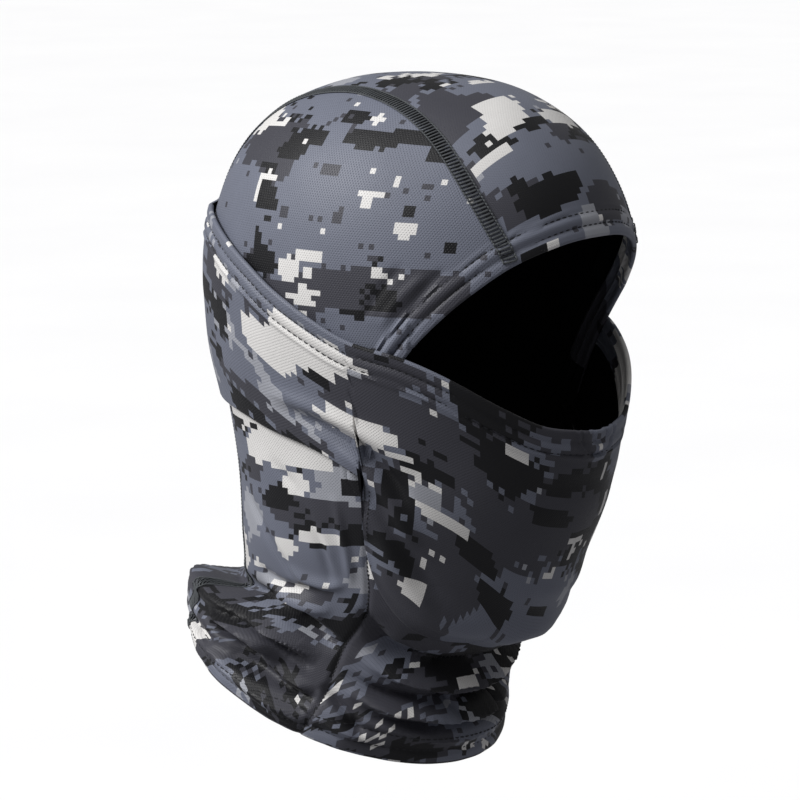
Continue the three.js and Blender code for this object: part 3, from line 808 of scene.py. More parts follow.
def camo_patch_group():
    """How much a patch of the print, placed in squares, adds at a point."""
    tree, n, entry, leave = new_group(
        "camo_patch",
        [("UV", "Vector", None), ("Centre", "Vector", None), ("Half Size", "Vector", (3.0, 2.0, 1.0)),
         ("Push", "Float", 0.5), ("Sum", "Float", 0.0)],
        [("Sum", "Float")])
    square = n.vector("SNAP", entry.outputs["UV"], (SQUARE, SQUARE, SQUARE))
    cell = n.vector("ADD", n.vector("MULTIPLY", square, (1 / SQUARE, 1 / SQUARE, 0)), (0.5, 0.5, 0))
    away = n.vector("ABSOLUTE", n.vector("SUBTRACT", cell, entry.outputs["Centre"]))
    share = n.add("ShaderNodeSeparateXYZ", {0: n.vector("DIVIDE", away, entry.outputs["Half Size"])})
    far = n.math("MAXIMUM", share.outputs[0], share.outputs[1])
    both = n.math("MULTIPLY", share.outputs[0], share.outputs[1])
    reach = n.math("MULTIPLY_ADD", both, 0.3, far)
    bump = n.math("SUBTRACT", 1.0, n.math("MULTIPLY_ADD", reach, 1.6, -0.96, clamp=True), clamp=True)
    pushed = n.math("MULTIPLY_ADD", bump, entry.outputs["Push"], entry.outputs["Sum"])
    tree.links.new(pushed, leave.inputs["Sum"])
    return tree


def knit_group():
    """Knit surface: staggered dimples of a given pitch, fine loops, and slow shading of the yarn. Its Shade
    darkens the dimples: painted shade in the knit's hollows.
    """
    tree, n, entry, leave = new_group(
        "mesh_knit",
        [("UV", "Vector", None), ("Pitch Across", "Float", 1.35), ("Pitch Up", "Float", 2.0)],
        [("Height", "Float"), ("Shade", "Float"), ("Rough", "Float")])
    uv = entry.outputs["UV"]
    split = n.add("ShaderNodeSeparateXYZ", {0: uv})
    across = n.math("MULTIPLY", split.outputs[0], 2 * math.pi / MM)
    across = n.math("DIVIDE", across, entry.outputs["Pitch Across"])
    up = n.math("DIVIDE", n.math("MULTIPLY", split.outputs[1], 2 * math.pi / MM), entry.outputs["Pitch Up"])
    wave = n.math("MULTIPLY", n.math("SINE", across), n.math("SINE", up))
    dimple = n.math("SMOOTH_MAX", n.math("SUBTRACT", wave, 0.25), 0.0, 0.2)
    loops = n.add("ShaderNodeTexNoise", {"Vector": uv, "Scale": 2600.0, "Detail": 1.0}).outputs[0]
    slow = n.add("ShaderNodeTexNoise", {"Vector": uv, "Scale": 60.0, "Detail": 2.0}).outputs[0]
    height = n.math("MULTIPLY_ADD", dimple, -1.0, n.math("MULTIPLY", loops, 0.5))
    # the dimples are darkened in the colour: painted shade in the knit's hollows
    shade = n.math("SUBTRACT", n.math("MULTIPLY_ADD", loops, 0.22, 0.86), n.math("MULTIPLY", dimple, 0.45))
    shade = n.math("MULTIPLY_ADD", slow, 0.14, n.math("SUBTRACT", shade, 0.05))
    tree.links.new(height, leave.inputs["Height"])
    tree.links.new(shade, leave.inputs["Shade"])
    tree.links.new(n.math("MULTIPLY_ADD", loops, 0.2, 0.38), leave.inputs["Rough"])
    return tree


CAMO_PRINT = camo_print_group()
CAMO_PATCH = camo_patch_group()
MESH_KNIT = knit_group()


def start_material(name, color):
    material = bpy.data.materials.new(name)
    material.use_nodes = True
    material.diffuse_color = color
    nodes = Nodes(material.node_tree)
    shader = material.node_tree.nodes["Principled BSDF"]
    return material, nodes, shader


def camo_cloth(name, seed, pitch=(1.35, 2.0), patches=(), depth=0.6, bias=0.0):
    """Printed knit for one panel. Each patch is a tone, its middle and half size in squares, and its
    push. A Clear patch pushes every tone back to the ground. bias is added to every tone all over."""
    material, n, shader = start_material(name, TONES["ground"])
    uv = n.add("ShaderNodeUVMap", uv_map="ClothUV").outputs[0]
    sums = {"Pale": bias, "Dark": bias, "Black": bias, "White": bias}
    for tone, across, up, half_across, half_up, push in patches:
        for one in (sums if tone == "Clear" else [tone]):
            node = n.group(CAMO_PATCH, UV=uv, Centre=(across, up, 0), Sum=sums[one], Push=push)
            node.inputs["Half Size"].default_value = (half_across, half_up, 1)
            sums[one] = node.outputs["Sum"]
    camo = n.group(CAMO_PRINT, UV=uv, Seed=seed, **sums)
    knit = n.add("ShaderNodeGroup", {"UV": uv}, node_tree=MESH_KNIT)
    knit.inputs["Pitch Across"].default_value, knit.inputs["Pitch Up"].default_value = pitch
    # the print is scaled by the knit's Shade, which paints shade into the dimples
    color = n.add("ShaderNodeVectorMath", {0: camo.outputs["Color"]}, operation="SCALE")
    n.tree.links.new(knit.outputs["Shade"], color.inputs["Scale"])
    relief = {"Height": knit.outputs["Height"], "Strength": depth, "Distance": 0.25 * MM}
    bump = n.add("ShaderNodeBump", relief)
    n.tree.links.new(color.outputs[0], shader.inputs["Base Color"])
    n.tree.links.new(knit.outputs["Rough"], shader.inputs["Roughness"])
    n.tree.links.new(bump.outputs[0], shader.inputs["Normal"])
    shader.inputs["Sheen Weight"].default_value = 0.05
    shader.inputs["Sheen Roughness"].default_value = 0.4
    shader.inputs["Specular IOR Level"].default_value = 0.32
    return material


def painted_shade_reverse_cloth():
    """The unprinted reverse of the knit, painted near-black: painted shade for the dark inside of the hood.
    """
    material, n, shader = start_material("reverse_painted_shade", (0.006, 0.006, 0.007, 1))
    uv = n.add("ShaderNodeUVMap", uv_map="ClothUV").outputs[0]
    knit = n.add("ShaderNodeGroup", node_tree=MESH_KNIT)
    n.tree.links.new(uv, knit.inputs["UV"])
    knit.inputs["Pitch Across"].default_value = 1.0
    knit.inputs["Pitch Up"].default_value = 0.9
    # the knit's Shade paints the dimples darker still: painted shade in the hollows
    color = n.mix(knit.outputs["Shade"], (0.002, 0.002, 0.002, 1), (0.006, 0.006, 0.007, 1))
    bump = n.add("ShaderNodeBump", {"Height": knit.outputs["Height"], "Strength": 0.3, "Distance": 0.2 * MM})
    n.tree.links.new(color, shader.inputs["Base Color"])
    n.tree.links.new(knit.outputs["Rough"], shader.inputs["Roughness"])
    n.tree.links.new(bump.outputs[0], shader.inputs["Normal"])
    shader.inputs["Specular IOR Level"].default_value = 0.1
    return material


def thread_finish(name, dark, light):
    """Twisted polyester thread: fine slanted plies, a little gloss, and dye that varies. The plies mix the
    dark and the light colour, so a pale light colour paints glints on them.
    """
    material, n, shader = start_material(name, light)
    place = n.add("ShaderNodeNewGeometry").outputs["Position"]
    plies = n.add("ShaderNodeTexNoise", {"Vector": place, "Scale": 3800.0, "Detail": 1.0}).outputs[0]
    dye = n.add("ShaderNodeTexNoise", {"Vector": place, "Scale": 260.0, "Detail": 1.0}).outputs[0]
    # the plies take the light colour: where it is pale, they are painted glints
    color = n.mix(n.math("MULTIPLY_ADD", plies, 0.7, n.math("MULTIPLY", dye, 0.3), clamp=True), dark, light)
    bump = n.add("ShaderNodeBump", {"Height": plies, "Strength": 0.5, "Distance": 0.12 * MM})
    n.tree.links.new(color, shader.inputs["Base Color"])
    n.tree.links.new(n.math("MULTIPLY_ADD", plies, 0.3, 0.5), shader.inputs["Roughness"])
    n.tree.links.new(bump.outputs[0], shader.inputs["Normal"])
    shader.inputs["Specular IOR Level"].default_value = 0.25
    return material


def floor_finish():
    """Pale studio floor, which throws less light back up than it shows."""
    material, n, shader = start_material("floor", (0.9, 0.9, 0.9, 1))
    place = n.add("ShaderNodeNewGeometry").outputs["Position"]
    mottle = n.add("ShaderNodeTexNoise", {"Vector": place, "Scale": 3.0, "Detail": 3.0}).outputs[0]
    color = n.mix(mottle, (0.91, 0.91, 0.92, 1), (0.96, 0.96, 0.96, 1))
    seen = n.add("ShaderNodeLightPath").outputs["Is Camera Ray"]
    n.tree.links.new(n.mix(seen, (0.22, 0.22, 0.23, 1), color), shader.inputs["Base Color"])
    shader.inputs["Roughness"].default_value = 0.9
    return material


# the reverse of the knit is painted near-black: painted shade inside the hood
reverse_painted_shade = painted_shade_reverse_cloth()
# flatlock thread: dark charcoal thread whose pale plies are painted glints on the rungs
flatlock_thread = thread_finish("flatlock_thread", (0.010, 0.011, 0.012, 1), (0.13, 0.14, 0.15, 1))
row_thread = thread_finish("row_thread", (0.010, 0.010, 0.012, 1), (0.045, 0.046, 0.052, 1))

# ---- Panels ----

HEAD_CENTRE = np.array([0.0, 0.0, -CROWN_HEIGHT])
UP = np.array([0.0, 1.0])  # up the print
EVEN_REACH = 12  # the print's length is evened out over twice this, so that the squares stay square


def spread_uv(points, side):
    """Side panel laid flat: distance and direction from the panel's middle, u to the front, v up."""
    away = unit(points - HEAD_CENTRE)
    turn = np.arccos(np.clip(away[..., 0] * side, -1, 1))
    flat = unit(away[..., 1:] + 1e-9)
    return PANEL_SPREAD * turn[..., None] * flat * np.array([-1.0, 1.0])


def round_uv(place, outer, radius):
    """Round the tube across, and up it the length of the cloth itself from the top row."""
    steps = np.linalg.norm(np.diff(outer, axis=0), axis=-1)
    length = np.concatenate([np.zeros_like(steps[:1]), np.cumsum(steps[::-1], axis=0)])[::-1]
    reach = int(EVEN_REACH / CELL)
    sums = np.cumsum(np.pad(length, ((0, 0), (reach + 1, reach)), mode="edge"), axis=1)
    length = (sums[:, 2 * reach + 1:] - sums[:, :-2 * reach - 1]) / (2 * reach + 1)
    return np.stack([np.radians(place[..., 0]) * radius, -place[-1:, :, 1] - length], -1)


def cells(length):
    return max(4, int(length / CELL))


def sided(curve, side):
    return curve if side > 0 else mirror(curve)


def ride_and_name(made, body, slot, *nodes):
    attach(made, body)
    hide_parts(*nodes)
    return made


def stretch_and_name(made, slot, *nodes):
    """For cloth and thread that reach from the hood, behind the ears, to the mask over the face."""
    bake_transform(made)
    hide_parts(*nodes)
    return made


PANEL_TURN = 0.4  # share of the strip's length where a side panel's two edges on it meet
WING_DROP = float(wing_seam(np.array(1.0))[1])
WING_BACK = STRIP_TURN + (1 - STRIP_TURN) * (WING_DROP - CROWN_HEIGHT) / (BOTTOM_DROP - CROWN_HEIGHT)
STRIP_ANGLE = float(strip_edge(0, 1)(np.array(0.0))[0])  # the strip's edge at the brow
STRIP_AT_BROW = where(brow_edge, STRIP_ANGLE)


def hood_panel(name, side, place, uv_of, material):
    """One panel of the hood, from places on the wearer's left that are turned over for the right."""
    place = place * np.array([side, 1.0])
    outer = hood_surface(place)
    facing = frames_at(place)[0][0, place.shape[1] // 2]
    made = cloth(name + "_cloth", outer, uv_of(place, outer), material, facing)
    return ride_and_name(made, "hood", "camo_knit", name)


def side_panel(name, side, material):
    high = strip_edge(0, PANEL_TURN)
    first = piece(brow_edge, 1, STRIP_AT_BROW)
    last = strip_edge(WING_BACK, PANEL_TURN)
    place = coons(wing_seam, high, first, last, cells(150), cells(150))
    return hood_panel(name, side, place, lambda at, outer: spread_uv(on_head(at), side), material)


def crown_strip(material):
    v = np.linspace(0, 1, cells(420) + 1)[:, None]
    x = np.linspace(-1, 1, cells(80) + 1)[None] * strip_half(v)
    place, points = strip_place(v, x)
    normal = grid_normals(points)
    if (normal[..., 2].mean()) < 0:
        normal = -normal
    down = unit(np.gradient(points, axis=0))
    outer = moved(place, points, normal, down, hood_field, 0)
    middle = points[:, points.shape[1] // 2]
    length = np.concatenate([[0], np.cumsum(np.linalg.norm(np.diff(middle, axis=0), axis=1))])
    uv = np.stack([x, -length[:, None] + 0 * x], -1)
    made = cloth("crown_strip_cloth", outer, uv, material, normal[0, normal.shape[1] // 2])
    return ride_and_name(made, "hood", "camo_knit", "crown_strip")


def neck_side(name, side, material):
    low = straight([side_seam(np.array(1.0))[0], BOTTOM_DROP], strip_edge(0, 1)(np.array(1.0)))
    first = piece(side_seam, 1, 0)
    last = strip_edge(1, WING_BACK)
    place = coons(low, wing_seam, first, last, cells(110), cells(150))
    uv_of = partial(round_uv, radius=NECK_SIDE_ROUND)
    return hood_panel(name, side, place, uv_of, material)


def neck_front(material):
    tuck = CHIN_CORNER[1] * WORN_HEIGHT - CHIN_TUCK
    t = np.linspace(0, 1, 1001)
    last = piece(side_seam, 1, float(np.interp(tuck, side_seam(t)[:, 1], t)))
    low = straight(mirror(last)(np.array(0.0)), last(np.array(0.0)))
    high = raised(both_sides(float(last(np.array(1.0))[0]), chin_fold), CHIN_TUCK)
    place = coons(low, high, mirror(last), last, cells(150), cells(75))
    uv_of = partial(round_uv, radius=NECK_FRONT_ROUND)
    return hood_panel("neck_front", 1, place, uv_of, material)


# ---- Mask and turned hems ----

TUCK_CELLS = 5
TUCK_TURN = math.radians(150)
CHIN_TUCK_RADIUS = 2.2
WING_TUCK_RADIUS = 0.9
FOLD_RADIUS = (2 * FABRIC + HEM_EASE) / 2
FOLD_CELLS = 7
FACING_STEP = 1.3  # between the rows of cells of a hem's facing


def mask_edges():
    """The mask's whole lower edge and whole top edge, from one wing tip to the other."""
    t = np.linspace(0, 1, 1601)
    top, chin, wing = mask_edge(t), chin_fold(t), wing_seam(t)

    def low(s):
        angle = WING_END * (2 * np.asarray(s, float) - 1)
        front = np.interp(np.abs(angle), chin[:, 0], chin[:, 1])
        side = np.interp(np.abs(angle), wing[:, 0], wing[:, 1])
        return np.stack([angle, np.where(np.abs(angle) <= SEAM_ANGLE, front, side)], -1)

    def high(s):
        angle = WING_END * (2 * np.asarray(s, float) - 1)
        return np.stack([angle, np.interp(np.abs(angle), top[:, 0], top[:, 1])], -1)

    return low, high


MASK_LOW, MASK_HIGH = mask_edges()


def mask_sheet(material):
    """The mask and its two wings as one cloth, turned in under the chin and at the wing seams."""
    count = cells(420)
    angle = np.linspace(-WING_END, WING_END, count + 1)
    for corner in (-SEAM_ANGLE, SEAM_ANGLE):  # a column of cells ends at each side seam
        angle[np.abs(angle - corner).argmin()] = corner
    s = (angle / WING_END + 1) / 2
    lo, hi = MASK_LOW(s), MASK_HIGH(s)
    v = np.linspace(0, 1, cells(90) + 1)[:, None, None]
    place = lo[None] * (1 - v) + hi[None] * v
    normal, _, down = frames_at(place[:1])
    outer = mask_surface(place)
    uv = np.stack([np.radians(place[..., 0]) * MASK_ROUND, hi[None, :, 1] - place[..., 1]], -1)
    turn = np.linspace(0, 1, TUCK_CELLS + 1)[1:, None, None] * TUCK_TURN
    radius = np.where(np.abs(lo[:, 0]) <= SEAM_ANGLE, CHIN_TUCK_RADIUS, WING_TUCK_RADIUS)[None, :, None]
    tucked = outer[:1] + radius * (normal * (np.cos(turn) - 1) + down * np.sin(turn))
    outward = tucked[-1, count // 2] - outer[3, count // 2]  # the print of the tucked edge faces inward
    outer = np.concatenate([tucked[::-1], outer])
    uv = np.concatenate([(uv[:1] - turn * radius * UP)[::-1], uv])
    made = cloth("mask_cloth", outer, uv, material, outward)
    return stretch_and_name(made, "camo_knit_mask", "mask_front", "mask_wing_left", "mask_wing_right")


def hem_piece(name, curve, depth, surface, uv_of, material, count, inward, closed_round=None):
    """A turned hem: the fold at the free edge and the facing behind it. inward is 1 where it turns up."""
    t = np.linspace(0, 1, count + 1)
    if closed_round is not None:
        t = t[:-1]
    place = curve(t)
    normal = frames_at(place)[0]
    edge = surface(place)
    near = surface(beside(curve, t, np.full(len(t), inward * 1.0)))
    out_way = unit(edge - near)
    turn = np.linspace(0, math.pi, FOLD_CELLS + 1)
    rise, reach = np.cos(turn)[:, None, None] - 1, np.sin(turn)[:, None, None]
    fold = edge[None] + FOLD_RADIUS * (normal[None] * rise + out_way[None] * reach)
    runs = np.arange(1, int(depth / FACING_STEP) + 1) * FACING_STEP
    facing = np.stack([surface(beside(curve, t, np.full(len(t), inward * run))) for run in runs])
    facing = facing - 2 * FOLD_RADIUS * normal[None]
    length = np.concatenate([FOLD_RADIUS * turn, FOLD_RADIUS * math.pi + runs])
    uv = uv_of(place)[None] - inward * length[:, None, None] * UP
    outer = np.concatenate([fold, facing])
    return cloth(name, outer, uv, material, normal[count // 2], closed_round)


# ---- Patches of the print, with some broad weak ones that paint shade on the lower neck ----

SIDE_PATCHES = [
    ("White", 0, 8, 8, 6, -0.12), ("Clear", 10, 19, 20, 10, -0.3), ("Clear", -18, 18, 7, 9, -0.2),
    ("Clear", 28, 18, 10, 10, -0.25), ("White", 13.5, 21.5, 4, 1, 0.7), ("White", 13, 20, 1, 1, 0.7),
    ("White", 21, 16, 2.6, 2.4, 0.7), ("White", 3, 10, 3.5, 1.2, 0.6), ("White", -1.5, 7.5, 2.1, 2, 0.6),
    ("White", 3, 7, 1.3, 1.3, 0.6), ("White", -10.5, 22.5, 2.5, 1, 0.6), ("White", -12.5, 20, 1, 2, 0.6),
    ("White", 8.5, 35.5, 1.4, 1, 0.6), ("White", 17.5, 24, 1, 1, 0.7), ("White", 2, 2, 1.6, 1.3, 0.6),
    ("Black", 9.5, 31, 6, 2, 0.35), ("Black", 17.5, 32.5, 6, 1.8, 0.35),
    ("Black", -10, 19.5, 4.5, 2.5, 0.35), ("Black", -11.5, 23.5, 4, 2, 0.3), ("Dark", -10, 24, 6, 4, 0.3),
    ("Black", -7, 27.5, 4, 2, 0.3), ("Black", -3, 31, 3.5, 1.8, 0.3), ("Black", 3.5, 35.5, 4, 2, 0.3),
    ("Black", 23, 29.5, 2, 2, 0.35), ("Dark", 19, 5, 9, 5.5, 0.3), ("Dark", 6, 4.5, 9, 4, 0.3),
    ("Dark", 28, 7, 5, 3.5, 0.3), ("Dark", 4, 25, 2.4, 1, 0.9), ("Dark", -4, 17, 1.2, 1.2, 0.9),
    ("Dark", 8, 17, 1.2, 1.6, 0.9), ("Black", 21, 19, 1.6, 1, 0.6), ("Black", 29, 13, 1, 1.2, 0.9),
    ("Dark", -9, 9, 3.5, 1.2, 0.4), ("Dark", -6, 2, 6, 3, 0.2), ("Dark", -19, 27, 4, 6, 0.2),
]
CROWN_PATCHES = [
    ("Clear", -8, -15, 9, 3, -0.2), ("Clear", 2, -14, 9, 3, -0.25), ("White", -5, -26, 4.5, 4.5, 0.4),
    ("White", -8, -23, 3.5, 2, 0.3), ("White", 0.5, -37, 5.5, 2, 0.35), ("White", 5, -23, 6, 2, 0.35),
    ("White", -13.5, -19, 3, 1, 0.8), ("White", -6, -38.5, 1, 1, 0.6), ("Black", -7, -8.5, 6.5, 3.4, 0.4),
    ("Black", -12, -22, 2.4, 1.6, 0.4), ("Black", -12.5, -12.5, 1.2, 1.2, 0.6),
    ("Black", -12.5, 1, 3, 2, 0.3), ("Black", -4, 2, 3, 1.4, 0.3), ("Dark", -11.5, -34, 3, 4, 0.3),
    ("Dark", 4, -19, 5, 2, 0.3), ("Dark", -14, -8, 2, 2, 0.3), ("Dark", 3, -5, 5, 4, 0.25),
    ("Dark", -6.5, -46, 4, 4, 0.2),
]
MASK_PATCHES = [
    ("White", -54, -10, 5, 3, 0.3), ("White", -48.5, -4, 4, 1.6, 0.3), ("White", -42, -14.5, 5, 2.4, 0.25),
    ("Black", -46, -9, 3, 1.2, 0.3), ("White", -64, -5, 3.4, 1.8, 0.3), ("White", -28, -24, 4.5, 1.2, 0.5),
    ("White", -31, -37.5, 2.7, 1.2, 0.5), ("White", -17, -6, 1.8, 1, 0.6),
    ("White", -30, -19.5, 1.2, 0.9, 0.6), ("White", 15, -8.5, 1.6, 2, 0.5),
    ("White", 4.5, -7.5, 1, 1.8, 0.6), ("Black", -59.5, -26.5, 8, 3, 0.35), ("Black", -50, -24, 4, 2, 0.3),
    ("Black", -8, -14.5, 5, 1.4, 0.4), ("Black", 3, -18, 5, 1.6, 0.4), ("Black", -15, -30.5, 5, 2, 0.35),
    ("Black", -3, -29.5, 3.5, 1, 0.5), ("Black", -21.5, -26, 5, 2, 0.3), ("Black", 14, -15, 4, 3, 0.3),
    ("Black", -30, -17, 5, 1.6, 0.3), ("Dark", -43, -7, 5, 1.6, 0.3), ("Dark", -30, -11, 6, 4.5, 0.3),
    ("Dark", -36, -1.5, 6, 2, 0.3), ("Dark", -27, -33, 6, 4, 0.25), ("Dark", -20, -2, 5, 2.5, 0.25),
    ("Dark", 0, -12, 14, 12, 0.05), ("Pale", -66, -16, 6, 7, 0.15), ("White", -14, -31, 9, 8, -0.3),
    ("White", -26, -34.5, 4, 4, -0.25), ("White", -18, -22, 13, 10, -0.12), ("Dark", -12, -4, 8, 4, -0.12),
    ("Dark", -6, -24, 12, 4, -0.1), ("Black", -36, -22, 3, 3, 0.2), ("White", 9, -14, 1.2, 2.5, 0.5),
    ("White", 12, -20, 1, 2, 0.5),
]
NECK_PATCHES = [
    ("White", -47, -61, 9, 2.6, 0.35), ("White", -46, -66, 3, 2, 0.3), ("White", -48.5, -78, 2.6, 2, 0.5),
    ("White", -42.5, -75, 4, 1.2, 0.5), ("White", -56, -82.5, 1.6, 1, 0.6),
    ("White", -67, -99, 3.5, 3, 0.4), ("Black", -37, -65.5, 2.2, 1.6, 0.4),
    # Black at (-44, -106) and Dark at (-46, -106): broad weak patches that darken the lower neck as painted
    # shade over the print
    ("Black", -37, -74.5, 2.2, 2, 0.4), ("Black", -44, -106, 18, 15, 0.1), ("Pale", -66, -104, 6, 8, 0.12),
    ("Dark", -43, -70.5, 9, 3, 0.35), ("Dark", -45, -86, 6, 1.6, 0.35), ("Dark", -56, -64.5, 2.6, 2.6, 0.3),
    ("Dark", -46, -106, 26, 17, 0.12), ("White", -34, -111, 6, 8, -0.3), ("Clear", -48, -81, 12, 4, -0.15),
    ("Pale", -58, -73, 4, 7, 0.2),
]
FRONT_PATCHES = [
    ("White", -8.5, -95, 2.5, 1, 0.5), ("White", 4, -96, 2, 1.3, 0.5), ("White", -3, -103, 1, 1, 0.6),
    ("White", -15, -104.5, 1, 0.9, 0.6), ("Dark", -8, -100, 32, 18, 0.1),
    # Dark at (-8, -100) and Black at (-12, -103): broad weak patches that darken the lower front of the neck
    # as painted shade over the print
    ("Black", -12, -103, 24, 16, 0.09), ("White", -22, -88, 3, 1, 0.4), ("White", -26, -106, 1.5, 1, 0.6),
    ("White", -5, -109, 2, 1, 0.5),
]

side_right_camo = camo_cloth("camo_side_right", 4.0, patches=SIDE_PATCHES, bias=-0.045)
side_left_camo = camo_cloth("camo_side_left", 9.0)
crown_camo = camo_cloth("camo_crown", 2.0, pitch=(1.0, 0.9), patches=CROWN_PATCHES, depth=0.35, bias=-0.03)
mask_camo = camo_cloth("camo_mask", 6.0, pitch=(1.1, 1.2), patches=MASK_PATCHES, bias=-0.02)
neck_right_camo = camo_cloth("camo_neck_right", 13.0, pitch=(1.2, 1.4), patches=NECK_PATCHES)
neck_left_camo = camo_cloth("camo_neck_left", 17.0, pitch=(1.2, 1.4))
neck_front_camo = camo_cloth("camo_neck_front", 23.0, pitch=(1.2, 1.4), patches=FRONT_PATCHES)

sheets = [
    side_panel("side_panel_right", -1, side_right_camo),
    side_panel("side_panel_left", 1, side_left_camo),
    crown_strip(crown_camo),
    neck_side("neck_side_right", -1, neck_right_camo),
    neck_side("neck_side_left", 1, neck_left_camo),
    neck_front(neck_front_camo),
]
mask = mask_sheet(mask_camo)

# ---- Hems ----

BROW_HEM_END = 0.93  # share of the brow edge where its turned hem runs out under the mask
MASK_HEM_END = 0.035  # share of the mask's top edge that is left flat at each wing tip


def crown_hem_uv(place):
    across = on_head(place)[..., 0]
    return np.stack([across, 0 * across], -1)


def left_hem_uv(place):
    return spread_uv(on_head(place), 1)


def right_hem_uv(place):
    return spread_uv(on_head(place), -1)


def bottom_hem_uv(place):
    return np.stack([np.radians(place[..., 0]) * BOTTOM_HEM_ROUND, -place[..., 1]], -1)


def mask_hem_uv(place):
    across = np.radians(place[..., 0]) * MASK_ROUND
    return np.stack([across, 0 * across], -1)


def bottom_line(t):
    t = np.asarray(t, float)
    return np.stack([360 * t - 180, np.full(t.shape, BOTTOM_DROP)], -1)


brow_centre = piece(brow_edge, where(brow_edge, -STRIP_ANGLE), STRIP_AT_BROW)
brow_left = piece(brow_edge, STRIP_AT_BROW, BROW_HEM_END)
brow_right = mirror(piece(brow_edge, BROW_HEM_END, STRIP_AT_BROW))
for name, curve, uv_of, camo in (("brow_hem_centre", brow_centre, crown_hem_uv, crown_camo),
                                 ("brow_hem_left", brow_left, left_hem_uv, side_left_camo),
                                 ("brow_hem_right", brow_right, right_hem_uv, side_right_camo)):
    hem = hem_piece(name + "_fold", curve, BROW_HEM, hood_surface, uv_of, camo, cells(90), 1)
    sheets.append(ride_and_name(hem, "hood", "hem_facing", name))

hem = hem_piece("bottom_hem_fold", bottom_line, BOTTOM_HEM, hood_surface, bottom_hem_uv, neck_front_camo,
                cells(430), 1, BOTTOM_HEM_ROUND)
sheets.append(ride_and_name(hem, "hood", "hem_facing", "bottom_hem"))

hem = hem_piece("mask_hem_fold", piece(MASK_HIGH, MASK_HEM_END, 1 - MASK_HEM_END), MASK_HEM, mask_surface,
                mask_hem_uv, mask_camo, cells(420), -1)
sheets += [stretch_and_name(hem, "hem_facing", "mask_hem_front", "wing_hem_left", "wing_hem_right"), mask]

# ---- Seams and rows of stitches ----

SEAM_STITCH = {"pitch": 1.9, "length": 1.5, "radius": 0.3, "lift": 0.1}
WING_STITCH = {"pitch": 2.2, "length": 1.6, "radius": 0.25, "lift": 0.2}
CHIN_STITCH = {"pitch": 1.9, "length": 1.2, "radius": 0.25, "lift": 0.1}
WING_ROW = 1.7  # the wing seam's stitches lie this far below it
BROW_ROW_END = 60.0  # angle round the head where the brow's rows run out
MASK_SEAM_TOP = [SEAM_ANGLE - 1, 0.61 * WORN_HEIGHT]
MASK_SEAM_BOTTOM = [SEAM_ANGLE - 1, 0.69 * WORN_HEIGHT]


def hood_thread(node, parts, material):
    ride_and_name(thread_object(node + "_thread", parts, material), "hood", "thread", node)


for side, name in ((1, "left"), (-1, "right")):
    rungs = ladder(sided(strip_edge(0.0, 1.0), side), hood_surface, SEAM_WIDTH, start=0.003, end=0.997)
    hood_thread("crown_seam_" + name, rungs, flatlock_thread)
    seam = stitch_row(sided(side_seam, side), hood_surface, start=0.02, end=0.99, **SEAM_STITCH)
    hood_thread("side_seam_" + name, [seam], row_thread)
    seam = stitch_row(inset(sided(wing_seam, side), -WING_ROW * side), hood_surface, start=0.03, end=0.97,
                      **WING_STITCH)
    hood_thread("wing_seam_" + name, [seam], row_thread)

brow_rows = piece(brow_edge, where(brow_edge, -BROW_ROW_END), where(brow_edge, BROW_ROW_END))
for node, row in (("brow_row_outer", inset(brow_rows, ROW_INSET)),
                  ("brow_row_inner", inset(brow_rows, ROW_INSET + ROW_PITCH)),
                  ("bottom_row_lower", raised(bottom_line, ROW_INSET)),
                  ("bottom_row_upper", raised(bottom_line, ROW_INSET + ROW_PITCH))):
    hood_thread(node, [stitch_row(row, hood_surface)], row_thread)

for distance, name in ((ROW_INSET, "row_outer"), (ROW_INSET + ROW_PITCH, "row_inner")):
    row = stitch_row(inset(MASK_HIGH, -distance), mask_surface, start=0.02, end=0.98)
    made = thread_object("mask_" + name + "_thread", [row], row_thread)
    stretch_and_name(made, "thread", "mask_" + name, "wing_" + name + "_left", "wing_" + name + "_right")

for side, name in ((1, "left"), (-1, "right")):
    seam = sided(straight(MASK_SEAM_TOP, MASK_SEAM_BOTTOM), side)
    row = stitch_row(seam, mask_surface, **CHIN_STITCH)
    made = thread_object("mask_side_seam_" + name + "_thread", [row], row_thread)
    ride_and_name(made, "mask", "thread", "mask_side_seam_" + name)

# ---- Studio ----

CENTRE = Vector((0, 0, -136 * MM))
FLOOR_REACH = 25.0
FLOOR_Z = CAD_BOX[0][2] - 0.4  # well below, so that no shadow of the mask shows on it


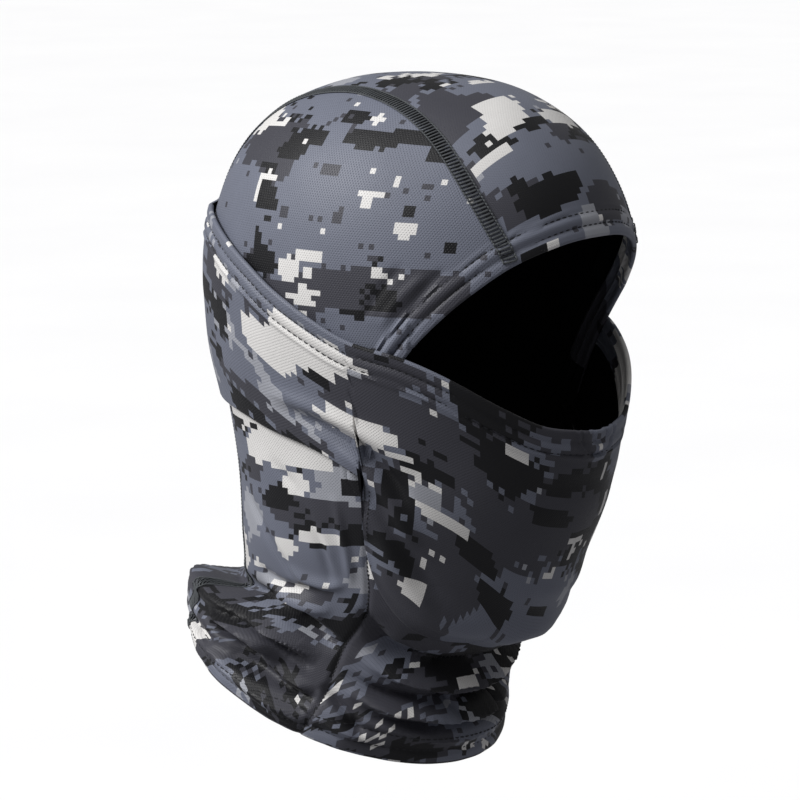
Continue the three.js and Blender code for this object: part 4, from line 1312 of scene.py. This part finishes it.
def studio():
    mesh = bpy.data.meshes.new("floor")
    corners = [(x * FLOOR_REACH, y * FLOOR_REACH, FLOOR_Z) for x, y in ((-1, -1), (1, -1), (1, 1), (-1, 1))]
    mesh.from_pydata(corners, [], [(0, 1, 2, 3)])
    mesh.materials.append(floor_finish())
    floor = bpy.data.objects.new("floor", mesh)
    bpy.context.scene.collection.objects.link(floor)
    world = bpy.data.worlds.new("studio")
    bpy.context.scene.world = world
    world.use_nodes = True
    n = Nodes(world.node_tree)
    back = world.node_tree.nodes["Background"]
    back.inputs["Color"].default_value = (1, 1, 1, 1)
    seen = n.add("ShaderNodeLightPath").outputs["Is Camera Ray"]
    n.tree.links.new(n.math("MULTIPLY_ADD", seen, 0.83, 0.17), back.inputs["Strength"])
    bpy.context.scene.view_settings.view_transform = "Standard"


def view_point(azimuth, elevation, distance):
    a, e = math.radians(azimuth), math.radians(elevation)
    return CENTRE + distance * Vector((math.sin(a) * math.cos(e), -math.cos(a) * math.cos(e), math.sin(e)))


def soft_light(name, azimuth, elevation, spread, strength):
    """Even light from one side of the room, over the whole floor."""
    data = bpy.data.lights.new(name, "SUN")
    data.angle, data.energy = math.radians(spread), strength
    light = bpy.data.objects.new(name, data)
    light.location = view_point(azimuth, elevation, 1.5)
    light.rotation_euler = (CENTRE - light.location).to_track_quat("-Z", "Y").to_euler()
    bpy.context.scene.collection.objects.link(light)


def main_camera():
    azimuth, elevation, distance = -49.4, 10.0, 1.5
    aside, up = 8.7 * MM, 1.2 * MM  # the camera aims this far beside and above the middle
    data = bpy.data.cameras.new("camera")
    data.lens, data.sensor_width = 162.7, 36.0
    camera = bpy.data.objects.new("camera", data)
    a = math.radians(azimuth)
    right = Vector((math.cos(a), math.sin(a), 0))
    aim = CENTRE - aside * right + up * Vector((0, 0, 1))
    camera.location = view_point(azimuth, elevation, distance) - CENTRE + aim
    camera.rotation_euler = (aim - camera.location).to_track_quat("-Z", "Y").to_euler()
    bpy.context.scene.collection.objects.link(camera)
    bpy.context.scene.camera = camera


studio()
soft_light("key", -122, 38, 24, 3.3)
soft_light("top", -75, 74, 40, 0.9)
main_camera()
